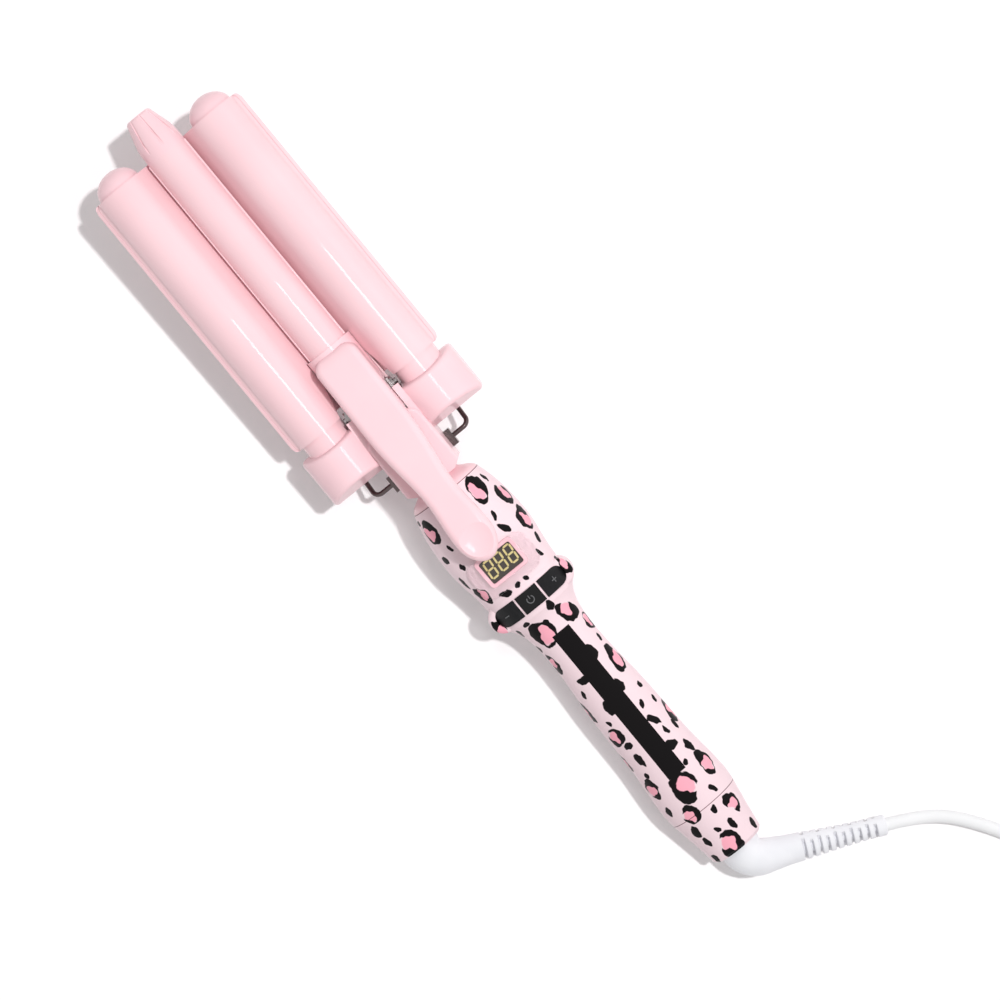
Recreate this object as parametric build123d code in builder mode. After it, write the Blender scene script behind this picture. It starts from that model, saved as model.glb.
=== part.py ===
from build123d import *

import os
from math import acos, asin, atan2, cos, degrees, hypot, pi, radians, sin, sqrt, tan

# A three-barrel hair waver that lies on its wire stand. All sizes are millimetres.
#
# The tool's own frame has +X from the hinge pin to the barrel tips, +Y to the user's left and +Z
# up through the thumb lever. The centre barrel's axis is the X axis. Every piece is made in that
# frame, and keep() then tips it onto its stand, with the floor at Z = 0.

# ------------------------------------------------------------------ driving sizes: fits
SEAT = 0.03              # between pieces that are pressed or nested together
RUNNING = 0.05           # radial clearance of a turning pin
EASE = 0.2               # round a button, a window or an ear that passes a wall
HAIR_GAP = 0.4           # between the two jaws when they are shut

# ------------------------------------------------------------------ driving sizes: barrels
BARREL_PITCH = 23.8      # from the centre barrel's axis to an outer barrel's
OUTER_BARREL_R = 9.8
CENTRE_BARREL_R = 9.1
BARREL_WALL = 1.0
BARREL_FRONT = 128.8     # from the hinge pin to the front end of the outer barrels
CENTRE_FRONT = 127.6     # from the hinge pin to the front end of the centre barrel
CENTRE_REAR = 4.0        # from the hinge pin to the centre barrel's rear end
DOME_DEPTH = 7.6
COOL_TIP_LENGTH = 18.8
PLUG_DEPTH = 7.0         # how far caps and bosses reach into a tube
BEAD_R = 0.5             # the hems along the centre barrel

# ------------------------------------------------------------------ driving sizes: jaw plates
SHEET = 0.8
COVER_REAR = 2.4
LIP_REACH = 13.0         # from an outer barrel's axis to the edge of the lips
RAIL_REAR = 5.6
RAIL_FRONT = 124.8
NOTCH_LENGTH = 17.0      # the slot in the jaw plate beside the lever
NOTCH_WIDTH = 3.8
BRACE_THICKNESS = 1.5
BRACE_DEPTH = 3.2        # how far the braces reach below the outer barrels

# ------------------------------------------------------------------ driving sizes: housings
HOUSING_FRONT = -2.0
HOUSING_LENGTH = 22.4
HOUSING_CROWN = 13.0     # height of the housing's crown above the barrel's axis
HOUSING_BOTTOM = 12.0
HOUSING_REACH = 14.4     # from the barrel's axis to the housing's outer side
HOUSING_DRAFT_FRONT = 3.0
HOUSING_DRAFT_REAR = 3.6
HOUSING_WALL = 2.4
HOUSING_ROUND = 1.8
PAD_RISE = 0.8           # low pads under the housings, to lie on

# ------------------------------------------------------------------ driving sizes: hinge
PIN_R = 1.25
PIN_HEIGHT = 4.0
PIN_LENGTH = 26.8
EAR_THICKNESS = 1.0
BEAM_THICKNESS = 2.0
BEAM_TOP = 2.0
BEAM_BOTTOM = 7.0
TAIL_BAR_WIDTH = 10.0
CLIP_R = 3.2
CLIP_THICKNESS = 0.8
LEVER_SWING = 7.5        # degrees

# ------------------------------------------------------------------ driving sizes: neck
NECK_FRONT = -10.6
NECK_HALF_WIDTH = 13.3
NECK_HALF_HEIGHT = 10.0
NECK_LENGTH = 28.6
NECK_STEP = 2.4
NECK_WALL = 1.9
THROAT_R = 9.6
RING_LENGTH = 5.2
SHELL_WALL = 2.4

# ------------------------------------------------------------------ driving sizes: handle
FRONT_R = 16.2
BULGE_R = 20.0
FRONT_LENGTH = 47.6
COLLAR_R = 17.7
COLLAR_LENGTH = 12.8
COLLAR_THICKNESS = 2.2
EAR_R = 6.2              # the rounded side ears of the button collar
EAR_STANDOUT = 2.7       # how far the ears stand out of the collar
EAR_TOP = 9.0
EAR_BOTTOM = -7.0
EAR_ROUND = 2.5
WAIST_R = 11.8
TAIL_R = 15.8
GRIP_LENGTH = 102.8
TAIL_LENGTH = 22.4
TAIL_END_R = 11.6

# ------------------------------------------------------------------ driving sizes: controls
BEZEL_SETBACK = 2.0      # from the display bezel's rear edge to the button collar
BEZEL_LENGTH = 17.2
BEZEL_HALF_WIDTH = 14.4
BEZEL_CORNER_R = 5.0
BEZEL_RISE = 0.8
WINDOW_LENGTH = 11.6
WINDOW_HALF_WIDTH = 8.0
BUTTON_LENGTH = 8.0
BUTTON_RISE = 0.5
BUTTON_TRAVEL = 0.6
POWER_HALF_WIDTH = 5.0
SIDE_BUTTON_FROM = 6.2
SIDE_BUTTON_INSET = 0.9  # from a side button's outer end to the collar's outside
BOARD_DEPTH = 12.7       # from the collar's outside down to the control board's underside
BOARD_THICKNESS = 1.2
SWITCH_HEIGHT = 3.4

# ------------------------------------------------------------------ driving sizes: stand, cord
STAND_WIRE_R = 1.0
STAND_HALF_WIDTH = 24.0
STAND_BEND = 3.0
STAND_PIVOT_HEIGHT = -8.0
STAND_PIVOT_BACK = 7.6   # from the housings' rear to the stand's pivot
TILT = 3.8               # degrees, tip up, as the tool lies on its stand
SWIVEL_R = 8.8
BOOT_R = 6.4
BOOT_END_R = 4.5
CORD_R = 2.7
COIL_R = 32.6            # mean radius of the put-away coil
COIL_COLUMNS = 5         # turns beside each other
COIL_LAYERS = 2          # turns on each other


# ------------------------------------------------------------------ stations along the tool
SIDES = {"left": 1, "right": -1}
HOUSING_REAR = HOUSING_FRONT - HOUSING_LENGTH
BEAM_REAR = HOUSING_REAR + HOUSING_WALL
BEAM_FRONT = BEAM_REAR + BEAM_THICKNESS
NECK_REAR = NECK_FRONT - NECK_LENGTH
THROAT_FRONT = NECK_REAR - NECK_STEP
HANDLE_FRONT = THROAT_FRONT - RING_LENGTH
COLLAR_FRONT = HANDLE_FRONT - FRONT_LENGTH
COLLAR_REAR = COLLAR_FRONT - COLLAR_LENGTH
COLLAR_MIDDLE = (COLLAR_FRONT + COLLAR_REAR) / 2
TAIL_FRONT = COLLAR_REAR - GRIP_LENGTH
TAIL_REAR = TAIL_FRONT - TAIL_LENGTH
CHEST_STATION = TAIL_FRONT + 0.05 * GRIP_LENGTH
TIP_END = CENTRE_FRONT + COOL_TIP_LENGTH
OUTER_BORE_R = OUTER_BARREL_R - BARREL_WALL
CENTRE_BORE_R = CENTRE_BARREL_R - BARREL_WALL
COLLAR_SEAT_R = COLLAR_R - COLLAR_THICKNESS
EAR_REACH = COLLAR_R + EAR_STANDOUT
SIDE_BUTTON_TO = COLLAR_R - SIDE_BUTTON_INSET
BOARD_HEIGHT = COLLAR_R - BOARD_DEPTH
BEZEL_START = COLLAR_FRONT + BEZEL_SETBACK + BEZEL_LENGTH

# Radii at stations along the two stretches of the handle, before and behind the collar.
FRONT_STATIONS = [
    (HANDLE_FRONT - share * FRONT_LENGTH, radius)
    for share, radius in (
        (0, FRONT_R), (0.24, BULGE_R - 1.0), (0.46, BULGE_R), (0.61, BULGE_R),
        (0.8, BULGE_R - 1.2), (1, COLLAR_R + 0.2),
    )
]
GRIP_STATIONS = [
    (COLLAR_REAR - share * GRIP_LENGTH, radius)
    for share, radius in (
        (0, COLLAR_R - 1.4), (0.04, WAIST_R + 2.0), (0.12, WAIST_R + 0.2), (0.25, WAIST_R),
        (0.48, WAIST_R + 1.6), (0.78, TAIL_R - 1.3), (0.95, TAIL_R), (1, TAIL_R - 0.4),
    )
]
CAVITY_STATIONS = (
    [(HANDLE_FRONT - SHELL_WALL, FRONT_R + 0.4 - SHELL_WALL)]
    + [(x, r - SHELL_WALL) for x, r in FRONT_STATIONS[1:-1]]
    + [(COLLAR_FRONT, COLLAR_SEAT_R - SHELL_WALL), (COLLAR_REAR, COLLAR_SEAT_R - SHELL_WALL - 0.4)]
    + [(x, r - SHELL_WALL) for x, r in GRIP_STATIONS[1:]]
)
TAIL_STATIONS = [
    (TAIL_FRONT, TAIL_R - 0.4), (TAIL_FRONT - 0.2 * TAIL_LENGTH, TAIL_R - 1.2),
    (TAIL_FRONT - 0.6 * TAIL_LENGTH, TAIL_R - 2.7), (TAIL_REAR + 1.2, TAIL_END_R + 0.4),
]

# ------------------------------------------------------------------ how the tool lies
# The handle's tail and the stand's foot bar touch the floor.
RISE = sin(radians(TILT))
LEVEL = cos(radians(TILT))
ORIGIN_HEIGHT = TAIL_R * LEVEL - CHEST_STATION * RISE
ORIGIN_SHIFT = -(TIP_END + TAIL_REAR) / 2 * LEVEL
AS_IT_LIES = Location((ORIGIN_SHIFT, 0, ORIGIN_HEIGHT), (0, -TILT, 0))


def lie(x, y, z):
    """A point of the tool's own frame, in the frame of the tool as it lies."""
    return Vector(x * LEVEL - z * RISE + ORIGIN_SHIFT, y, x * RISE + z * LEVEL + ORIGIN_HEIGHT)


# ------------------------------------------------------------------ helpers
os.makedirs("parts", exist_ok=True)


def write(solid, name):
    """Name a finished piece and write its STEP file."""
    solid.label = name
    export_step(solid, f"parts/{name}.step")


def keep(piece, name):
    """Lay a piece that was made in the tool's own frame on its stand, and write it."""
    piece.part.label = name
    write(AS_IT_LIES * piece.part, name)


def across(x):
    """The plane across the tool at station x: local axes are the tool's Y and Z."""
    return Plane.YZ.offset(x)


def outline(stations):
    """The section between the tool's axis and a smooth curve through the stations."""
    with BuildSketch(Plane.XZ) as section:
        with BuildLine():
            Spline(*stations)
            Polyline(stations[-1], (stations[-1][0], 0), (stations[0][0], 0), stations[0])
        make_face()
    return section.sketch


def ring(front, rear, inner_r, outer_r):
    """The section of a ring round the tool's axis between two stations."""
    with BuildSketch(Plane.XZ) as section:
        with Locations(((front + rear) / 2, (inner_r + outer_r) / 2)):
            Rectangle(front - rear, outer_r - inner_r)
    return section.sketch


def cavity_radius(x):
    """The handle cavity's radius at a station, between the given stations in straight steps."""
    pairs = list(zip(CAVITY_STATIONS, CAVITY_STATIONS[1:]))
    for (x0, r0), (x1, r1) in pairs:
        if x1 <= x <= x0:
            return r0 + (r1 - r0) * (x0 - x) / (x0 - x1)
    return CAVITY_STATIONS[-1][1]


# ------------------------------------------------------------------ barrels
for side, hand in SIDES.items():
    with BuildPart() as outer_barrel:
        with BuildSketch(across(BEAM_FRONT)):
            with Locations((hand * BARREL_PITCH, 0)):
                Circle(OUTER_BARREL_R)
                Circle(OUTER_BORE_R, mode=Mode.SUBTRACT)
        extrude(amount=BARREL_FRONT - BEAM_FRONT)
    keep(outer_barrel, f"{side}_barrel")

    # The domed cap: a quarter ellipse spun round the barrel's axis, with a plug behind it.
    with BuildPart() as end_cap:
        with BuildSketch(Plane.XZ.offset(-hand * BARREL_PITCH)):
            with BuildLine():
                EllipticalCenterArc((BARREL_FRONT, 0), DOME_DEPTH, OUTER_BARREL_R - 0.3, 0, arc_size=90)
                Polyline(
                    (BARREL_FRONT, OUTER_BARREL_R - 0.3),
                    (BARREL_FRONT, OUTER_BORE_R - SEAT),
                    (BARREL_FRONT - PLUG_DEPTH, OUTER_BORE_R - SEAT),
                    (BARREL_FRONT - PLUG_DEPTH, 0),
                    (BARREL_FRONT + DOME_DEPTH, 0),
                )
            make_face()
        revolve(axis=Axis((0, hand * BARREL_PITCH, 0), (1, 0, 0)))
    keep(end_cap, f"{side}_end_cap")

BAND_FRONT = CENTRE_REAR + 23.2
BEAD_ANGLE = 12.0
with BuildPart() as centre_barrel:
    with BuildSketch(across(CENTRE_REAR)):
        Circle(CENTRE_BARREL_R)
        Circle(CENTRE_BORE_R, mode=Mode.SUBTRACT)
    extrude(amount=CENTRE_FRONT - CENTRE_REAR)
    with BuildSketch(across(BAND_FRONT + EASE)):
        with PolarLocations(CENTRE_BARREL_R, 2, start_angle=BEAD_ANGLE, angular_range=180 - 2 * BEAD_ANGLE,
                            endpoint=True):
            Circle(BEAD_R)
        Circle(CENTRE_BORE_R, mode=Mode.SUBTRACT)
    extrude(amount=CENTRE_FRONT - BAND_FRONT - EASE)
keep(centre_barrel, "centre_barrel")

# ------------------------------------------------------------------ cool tip
TIP_GROOVES = 8
GROOVE_R = 0.5
TIP_ROOT = (CENTRE_FRONT, CENTRE_BARREL_R)
TIP_BEND = (CENTRE_FRONT + 0.5 * COOL_TIP_LENGTH, CENTRE_BARREL_R - 0.75)
TIP_NOSE = (TIP_END - 0.8, CENTRE_BARREL_R - 3.3)
with BuildPart() as cool_tip:
    with BuildSketch(Plane.XZ):
        with BuildLine():
            Spline(
                TIP_ROOT, TIP_BEND,
                tangents=((1, 0), (TIP_NOSE[0] - TIP_BEND[0], TIP_NOSE[1] - TIP_BEND[1])),
            )
            Polyline(
                TIP_BEND, TIP_NOSE, (TIP_END, TIP_NOSE[1] - 0.8), (TIP_END, 0),
                (CENTRE_FRONT - PLUG_DEPTH, 0), (CENTRE_FRONT - PLUG_DEPTH, CENTRE_BORE_R - SEAT),
                (CENTRE_FRONT, CENTRE_BORE_R - SEAT), TIP_ROOT,
            )
        make_face()
    revolve(axis=Axis.X)
    # Grooves run out of the front end and fade out where the taper begins.
    groove_angle = degrees(atan2(TIP_ROOT[1] + 0.25 - TIP_NOSE[1], TIP_NOSE[0] - TIP_ROOT[0] - 0.2 * COOL_TIP_LENGTH))
    for turn in range(TIP_GROOVES):
        around = Location((0, 0, 0), ((turn + 0.25) * 360 / TIP_GROOVES, 0, 0))
        along = Pos(*TIP_NOSE[:1], 0, TIP_NOSE[1] + 0.1) * Rot(0, groove_angle - 90, 0)
        add(around * along * Cylinder(GROOVE_R, 1.7 * COOL_TIP_LENGTH, mode=Mode.PRIVATE), mode=Mode.SUBTRACT)
keep(cool_tip, "cool_tip")

# ------------------------------------------------------------------ jaw plate and trough plate
# Both are corrugated sheets: an arc under the centre barrel and an arc over each outer barrel,
# joined by webs along the inner tangents of the two circles.
HUMP_MID_R = OUTER_BARREL_R + HAIR_GAP + SHEET / 2
CRADLE_MID_R = CENTRE_BARREL_R + SEAT + SHEET / 2
TANGENT = degrees(acos((HUMP_MID_R + CRADLE_MID_R) / BARREL_PITCH))
WEB_LENGTH = sqrt(BARREL_PITCH**2 - (HUMP_MID_R + CRADLE_MID_R) ** 2)


def web_ends(cradle_r, length, hand):
    """The two ends of a web that leaves the cradle arc at the tangent angle."""
    start = Vector(cradle_r * cos(radians(TANGENT)), -cradle_r * sin(radians(TANGENT)))
    run = Vector(sin(radians(TANGENT)), cos(radians(TANGENT))) * length
    end = start + run
    return (hand * start.X, start.Y), (hand * end.X, end.Y)


with BuildPart() as jaw_plate:
    with BuildSketch(across(COVER_REAR)):
        with BuildLine():
            CenterArc((0, 0), CRADLE_MID_R, -TANGENT, -(180 - 2 * TANGENT))
            Line(*web_ends(CRADLE_MID_R, WEB_LENGTH, 1))
            Line(*web_ends(CRADLE_MID_R, WEB_LENGTH, -1))
            CenterArc((BARREL_PITCH, 0), HUMP_MID_R, 180 - TANGENT, -(180 - TANGENT))
            CenterArc((-BARREL_PITCH, 0), HUMP_MID_R, TANGENT, 180 - TANGENT)
        trace(line_width=SHEET)
    extrude(amount=BARREL_FRONT - COVER_REAR)
    with BuildSketch(across(COVER_REAR)):
        lip_width = LIP_REACH - HUMP_MID_R
        with Locations(*[(s * (BARREL_PITCH + HUMP_MID_R + lip_width / 2), SHEET / 2) for s in (1, -1)]):
            Rectangle(lip_width, SHEET)
    extrude(amount=BARREL_FRONT - COVER_REAR)
    lip_corners = jaw_plate.edges().filter_by(Axis.Z).filter_by(
        lambda e: abs(abs(e.center().Y) - BARREL_PITCH - LIP_REACH) < 0.01
    )
    fillet(lip_corners, radius=lip_width - SHEET)
    # The slot beside the lever, widest at the rear.
    with BuildSketch(Plane.XY.offset(-SHEET)):
        for s in (1, -1):
            inner = CENTRE_BARREL_R + SHEET + 0.4
            with BuildLine():
                Polyline(
                    (COVER_REAR + NOTCH_LENGTH, s * inner), (COVER_REAR - 1, s * inner),
                    (COVER_REAR - 1, s * (inner + NOTCH_WIDTH)), close=True,
                )
            make_face()
    extrude(amount=HOUSING_CROWN, mode=Mode.SUBTRACT)
keep(jaw_plate, "jaw_plate")

TROUGH_MID_R = CRADLE_MID_R + SHEET + HAIR_GAP
with BuildPart() as trough_plate:
    with BuildSketch(across(RAIL_REAR)):
        with BuildLine():
            CenterArc((0, 0), TROUGH_MID_R, -TANGENT, -(180 - 2 * TANGENT))
            Line(*web_ends(TROUGH_MID_R, WEB_LENGTH - 3.4, 1))
            Line(*web_ends(TROUGH_MID_R, WEB_LENGTH - 3.4, -1))
        trace(line_width=SHEET)
        with Locations((BARREL_PITCH, 0), (-BARREL_PITCH, 0)):
            Circle(OUTER_BARREL_R + SEAT, mode=Mode.SUBTRACT)
    extrude(amount=RAIL_FRONT - RAIL_REAR)
keep(trough_plate, "trough_plate")

# The fixed lips: a strip that hugs the outer barrel, with a flange along it.
RAIL_ANGLE = 10.0
for side, hand in SIDES.items():
    hug_r = OUTER_BARREL_R + SEAT + SHEET / 2
    flange_height = -hug_r * sin(radians(RAIL_ANGLE))
    flange_from = hug_r * cos(radians(RAIL_ANGLE))
    with BuildPart() as side_rail:
        with BuildSketch(across(RAIL_REAR)):
            with BuildLine():
                CenterArc((hand * BARREL_PITCH, 0), hug_r, -40 if hand > 0 else 180 + RAIL_ANGLE, 40 - RAIL_ANGLE)
            trace(line_width=SHEET)
            with Locations((hand * (BARREL_PITCH + (flange_from + LIP_REACH) / 2), flange_height)):
                Rectangle(LIP_REACH - flange_from, SHEET)
        extrude(amount=RAIL_FRONT - RAIL_REAR)
        rail_corners = side_rail.edges().filter_by(Axis.Z).filter_by(
            lambda e: abs(abs(e.center().Y) - BARREL_PITCH - LIP_REACH) < 0.01
        )
        fillet(rail_corners, radius=lip_width - SHEET)
    keep(side_rail, f"{side}_side_rail")

# Three saddle plates tie the outer barrels and the trough together from below.
BRACE_STATIONS = [RAIL_REAR + share * (RAIL_FRONT - RAIL_REAR) for share in (0.12, 0.507, 0.893)]
with BuildPart() as cross_braces:
    brace_top = -TROUGH_MID_R * sin(radians(TANGENT)) - SHEET
    brace_bottom = -OUTER_BARREL_R - BRACE_DEPTH
    for station in BRACE_STATIONS:
        with BuildSketch(across(station)):
            with Locations((0, (brace_top + brace_bottom) / 2)):
                Rectangle(2 * BARREL_PITCH + OUTER_BARREL_R, brace_top - brace_bottom)
            Circle(TROUGH_MID_R + SHEET / 2 + SEAT, mode=Mode.SUBTRACT)
            with Locations((BARREL_PITCH, 0), (-BARREL_PITCH, 0)):
                Circle(OUTER_BARREL_R + SEAT, mode=Mode.SUBTRACT)
        extrude(amount=BRACE_THICKNESS)
keep(cross_braces, "cross_braces")

# ------------------------------------------------------------------ heaters
CORE_THICKNESS = 4.4
CORE_HALF_WIDTH = 6.4
HEATER_REAR = CENTRE_REAR + PLUG_DEPTH + 6.0
HEATER_FRONT = CENTRE_FRONT - PLUG_DEPTH - 4.0
SENSOR_R = 1.2
SENSOR_LENGTH = 4.0
for name, places, bore_r in (
    ("outer", ((BARREL_PITCH, 0), (-BARREL_PITCH, 0)), OUTER_BORE_R), ("centre", ((0, 0),), CENTRE_BORE_R),
):
    with BuildPart() as heat_spreaders:
        with BuildSketch(across(HEATER_REAR)):
            with Locations(*places):
                Circle(bore_r - SEAT)
                Rectangle(2 * bore_r, CORE_THICKNESS, mode=Mode.SUBTRACT)
        extrude(amount=HEATER_FRONT - HEATER_REAR)
    keep(heat_spreaders, f"{name}_heat_spreaders")
    with BuildPart() as heater_cores:
        with BuildSketch(across(HEATER_REAR + 2)):
            with Locations(*places):
                Rectangle(2 * CORE_HALF_WIDTH, CORE_THICKNESS)
        extrude(amount=HEATER_FRONT - HEATER_REAR - 4)
    keep(heater_cores, f"{name}_heater_core" + ("s" if len(places) > 1 else ""))
    with BuildPart() as sensors:
        with BuildSketch(across(HEATER_REAR - SENSOR_LENGTH)):
            with Locations(*[(y, (bore_r + CORE_THICKNESS / 2) / 2) for y, z in places]):
                Circle(SENSOR_R)
        extrude(amount=SENSOR_LENGTH)
    keep(sensors, f"{name}_temperature_sensor" + ("s" if len(places) > 1 else ""))

# ------------------------------------------------------------------ housings
NECK_SIDE = NECK_HALF_WIDTH
HIP = HOUSING_CROWN - HOUSING_REACH          # height where the outer side starts to curve in
for side, hand in SIDES.items():
    inner_y = hand * NECK_SIDE
    crown_y = hand * BARREL_PITCH
    outer_y = hand * (BARREL_PITCH + HOUSING_REACH)
    shoulder = BARREL_PITCH - NECK_SIDE      # half-width of the inner side
    shoulder_r = 16.0
    shoulder_height = HOUSING_CROWN - (shoulder_r - sqrt(shoulder_r**2 - shoulder**2))
    with BuildPart() as housing:
        with BuildSketch(across(HOUSING_REAR)):
            with BuildLine():
                ThreePointArc(
                    (inner_y, shoulder_height),
                    (
                        crown_y - hand * shoulder_r * sin(asin(shoulder / shoulder_r) / 2),
                        HOUSING_CROWN - shoulder_r * (1 - cos(asin(shoulder / shoulder_r) / 2)),
                    ),
                    (crown_y, HOUSING_CROWN),
                )
                ThreePointArc(
                    (crown_y, HOUSING_CROWN),
                    (
                        crown_y + hand * HOUSING_REACH * sin(pi / 4),
                        HIP + HOUSING_REACH * cos(pi / 4),
                    ),
                    (outer_y, HIP),
                )
                Polyline(
                    (outer_y, HIP), (outer_y, -HOUSING_BOTTOM), (inner_y, -HOUSING_BOTTOM),
                    (inner_y, shoulder_height),
                )
            make_face()
        extrude(amount=HOUSING_LENGTH)
        # Front and rear faces lean in towards the crown.
        with BuildSketch(Plane.XZ):
            with BuildLine():
                Polyline(
                    (HOUSING_FRONT, -HOUSING_BOTTOM), (HOUSING_FRONT, HIP),
                    (HOUSING_FRONT - HOUSING_DRAFT_FRONT, HOUSING_CROWN),
                    (HOUSING_REAR + HOUSING_DRAFT_REAR, HOUSING_CROWN),
                    (HOUSING_REAR, HIP), (HOUSING_REAR, -HOUSING_BOTTOM), close=True,
                )
            make_face()
        extrude(amount=BARREL_PITCH + 2 * HOUSING_REACH, both=True, mode=Mode.INTERSECT)
        outer_edges = housing.edges().filter_by(lambda e: abs(e.center().Y) > NECK_SIDE + 0.5)
        fillet(outer_edges, radius=HOUSING_ROUND)
        # Bore for the barrel, and the slot for the frame's beam.
        with BuildSketch(across(BEAM_FRONT)):
            with Locations((crown_y, 0)):
                Circle(OUTER_BARREL_R + SEAT)
        extrude(amount=HOUSING_LENGTH, mode=Mode.SUBTRACT)
        with BuildSketch(across(BEAM_REAR)):
            with Locations((crown_y - hand * OUTER_BARREL_R / 2, (BEAM_TOP - BEAM_BOTTOM) / 2)):
                Rectangle(2 * OUTER_BARREL_R, BEAM_TOP + BEAM_BOTTOM)
        extrude(amount=BEAM_THICKNESS, mode=Mode.SUBTRACT)
        # The pad stands clear of the stand's leg, which passes behind it.
        with BuildSketch(Plane.XY.offset(-HOUSING_BOTTOM - PAD_RISE)):
            with Locations((HOUSING_FRONT - 0.42 * HOUSING_LENGTH, hand * (NECK_SIDE + BARREL_PITCH + HOUSING_REACH) / 2)):
                RectangleRounded(0.58 * HOUSING_LENGTH, 0.7 * (BARREL_PITCH + HOUSING_REACH - NECK_SIDE), 2.0)
        extrude(amount=PAD_RISE + 0.2)
    keep(housing, f"{side}_housing")

# ------------------------------------------------------------------ hinge frame
LEVER_HALF_WIDTH = 10.0
EAR_INNER = LEVER_HALF_WIDTH + 0.3
EAR_OUTER = EAR_INNER + EAR_THICKNESS
BEAM_HALF_WIDTH = BARREL_PITCH + OUTER_BARREL_R / 2
TAIL_BAR_REAR = HANDLE_FRONT - SHELL_WALL
BAR_TOP = -3.0
BAR_THICKNESS = 2.0
NECK_SCREW_STATIONS = (NECK_FRONT - 5.4, HOUSING_REAR - STAND_PIVOT_BACK)
SCREW_R = 1.45
with BuildPart() as hinge_frame:
    with BuildSketch(across(BEAM_REAR)):
        with Locations((0, (BEAM_TOP - BEAM_BOTTOM) / 2)):
            Rectangle(2 * BEAM_HALF_WIDTH, BEAM_TOP + BEAM_BOTTOM)
    extrude(amount=BEAM_THICKNESS)
    with BuildSketch(across(BEAM_FRONT)):
        with Locations((BARREL_PITCH, 0), (-BARREL_PITCH, 0)):
            Circle(OUTER_BORE_R - SEAT)
    extrude(amount=PLUG_DEPTH)
    # Ears: side plates that run forward to the hinge pin.
    for s in (1, -1):
        with BuildSketch(Plane.XZ.offset(-s * (EAR_INNER + EAR_THICKNESS / 2))):
            with BuildLine():
                Polyline(
                    (BEAM_REAR, -BEAM_BOTTOM), (BEAM_REAR, BEAM_TOP), (-PIN_R - 2.6, PIN_HEIGHT + 3.4),
                    (PIN_R + 2.0, PIN_HEIGHT + 3.4), (PIN_R + 2.0, PIN_HEIGHT - 3.4),
                    (-PIN_R - 2.6, -BEAM_BOTTOM), close=True,
                )
            make_face()
        extrude(amount=EAR_THICKNESS / 2, both=True)
    with BuildSketch(Plane.XZ):
        with Locations((0, PIN_HEIGHT)):
            Circle(PIN_R + SEAT)
    extrude(amount=2 * EAR_OUTER, both=True, mode=Mode.SUBTRACT)
    # Tail bar: runs back through the neck into the handle.
    with BuildSketch(Plane.XY.offset(BAR_TOP - BAR_THICKNESS)):
        with Locations(((BEAM_REAR + TAIL_BAR_REAR) / 2, 0)):
            Rectangle(BEAM_REAR - TAIL_BAR_REAR, TAIL_BAR_WIDTH)
        with Locations((NECK_SCREW_STATIONS[1], 0)):
            Circle(SCREW_R + EASE, mode=Mode.SUBTRACT)
    extrude(amount=BAR_THICKNESS)
keep(hinge_frame, "hinge_frame")

# ------------------------------------------------------------------ hinge pin, clips, spring
with BuildPart() as hinge_pin:
    with BuildSketch(Plane.XZ):
        with Locations((0, PIN_HEIGHT)):
            Circle(PIN_R)
    extrude(amount=PIN_LENGTH / 2, both=True)
keep(hinge_pin, "hinge_pin")

with BuildPart() as hinge_clips:
    for s in (1, -1):
        clip_middle = EAR_OUTER + RUNNING + CLIP_THICKNESS / 2
        with BuildSketch(Plane.XZ.offset(-s * clip_middle)):
            with Locations((0, PIN_HEIGHT)):
                Circle(CLIP_R)
                Circle(PIN_R + SEAT, mode=Mode.SUBTRACT)
            with Locations((0, PIN_HEIGHT - CLIP_R)):
                Rectangle(1.6 * PIN_R, 2 * CLIP_R, mode=Mode.SUBTRACT)
        extrude(amount=CLIP_THICKNESS / 2, both=True)
keep(hinge_clips, "hinge_clips")

SPRING_WIRE_R = 0.5
SPRING_R = PIN_R + SPRING_WIRE_R + 0.5
SPRING_TURNS = 5.25
SPRING_PITCH = 2 * SPRING_WIRE_R + 0.1
SPRING_WIDTH = SPRING_TURNS * SPRING_PITCH
SPRING_LEG = 4.4
SPRING_SHIFT = 1.5       # to the left, so that its leg passes beside the neck's screw
with BuildPart() as return_spring:
    coil_plane = Plane((0, SPRING_SHIFT - SPRING_WIDTH / 2, PIN_HEIGHT), x_dir=(1, 0, 0), z_dir=(0, 1, 0))
    spring_line = coil_plane * Helix(SPRING_PITCH, SPRING_WIDTH, SPRING_R, mode=Mode.PRIVATE)
    with BuildSketch(Plane(origin=spring_line @ 0, z_dir=spring_line % 0)):
        Circle(SPRING_WIRE_R)
    sweep(path=spring_line, is_frenet=True)
    # Legs: one stands behind the bracket's disc, the other bears on the frame's beam.
    right_end, left_end = return_spring.faces().filter_by(GeomType.PLANE).sort_by(Axis.Y)
    extrude(right_end, amount=SPRING_LEG, dir=(0, 0, 1))
    extrude(left_end, amount=-BEAM_FRONT, dir=(-1, 0, 0))
keep(return_spring, "return_spring")

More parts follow.
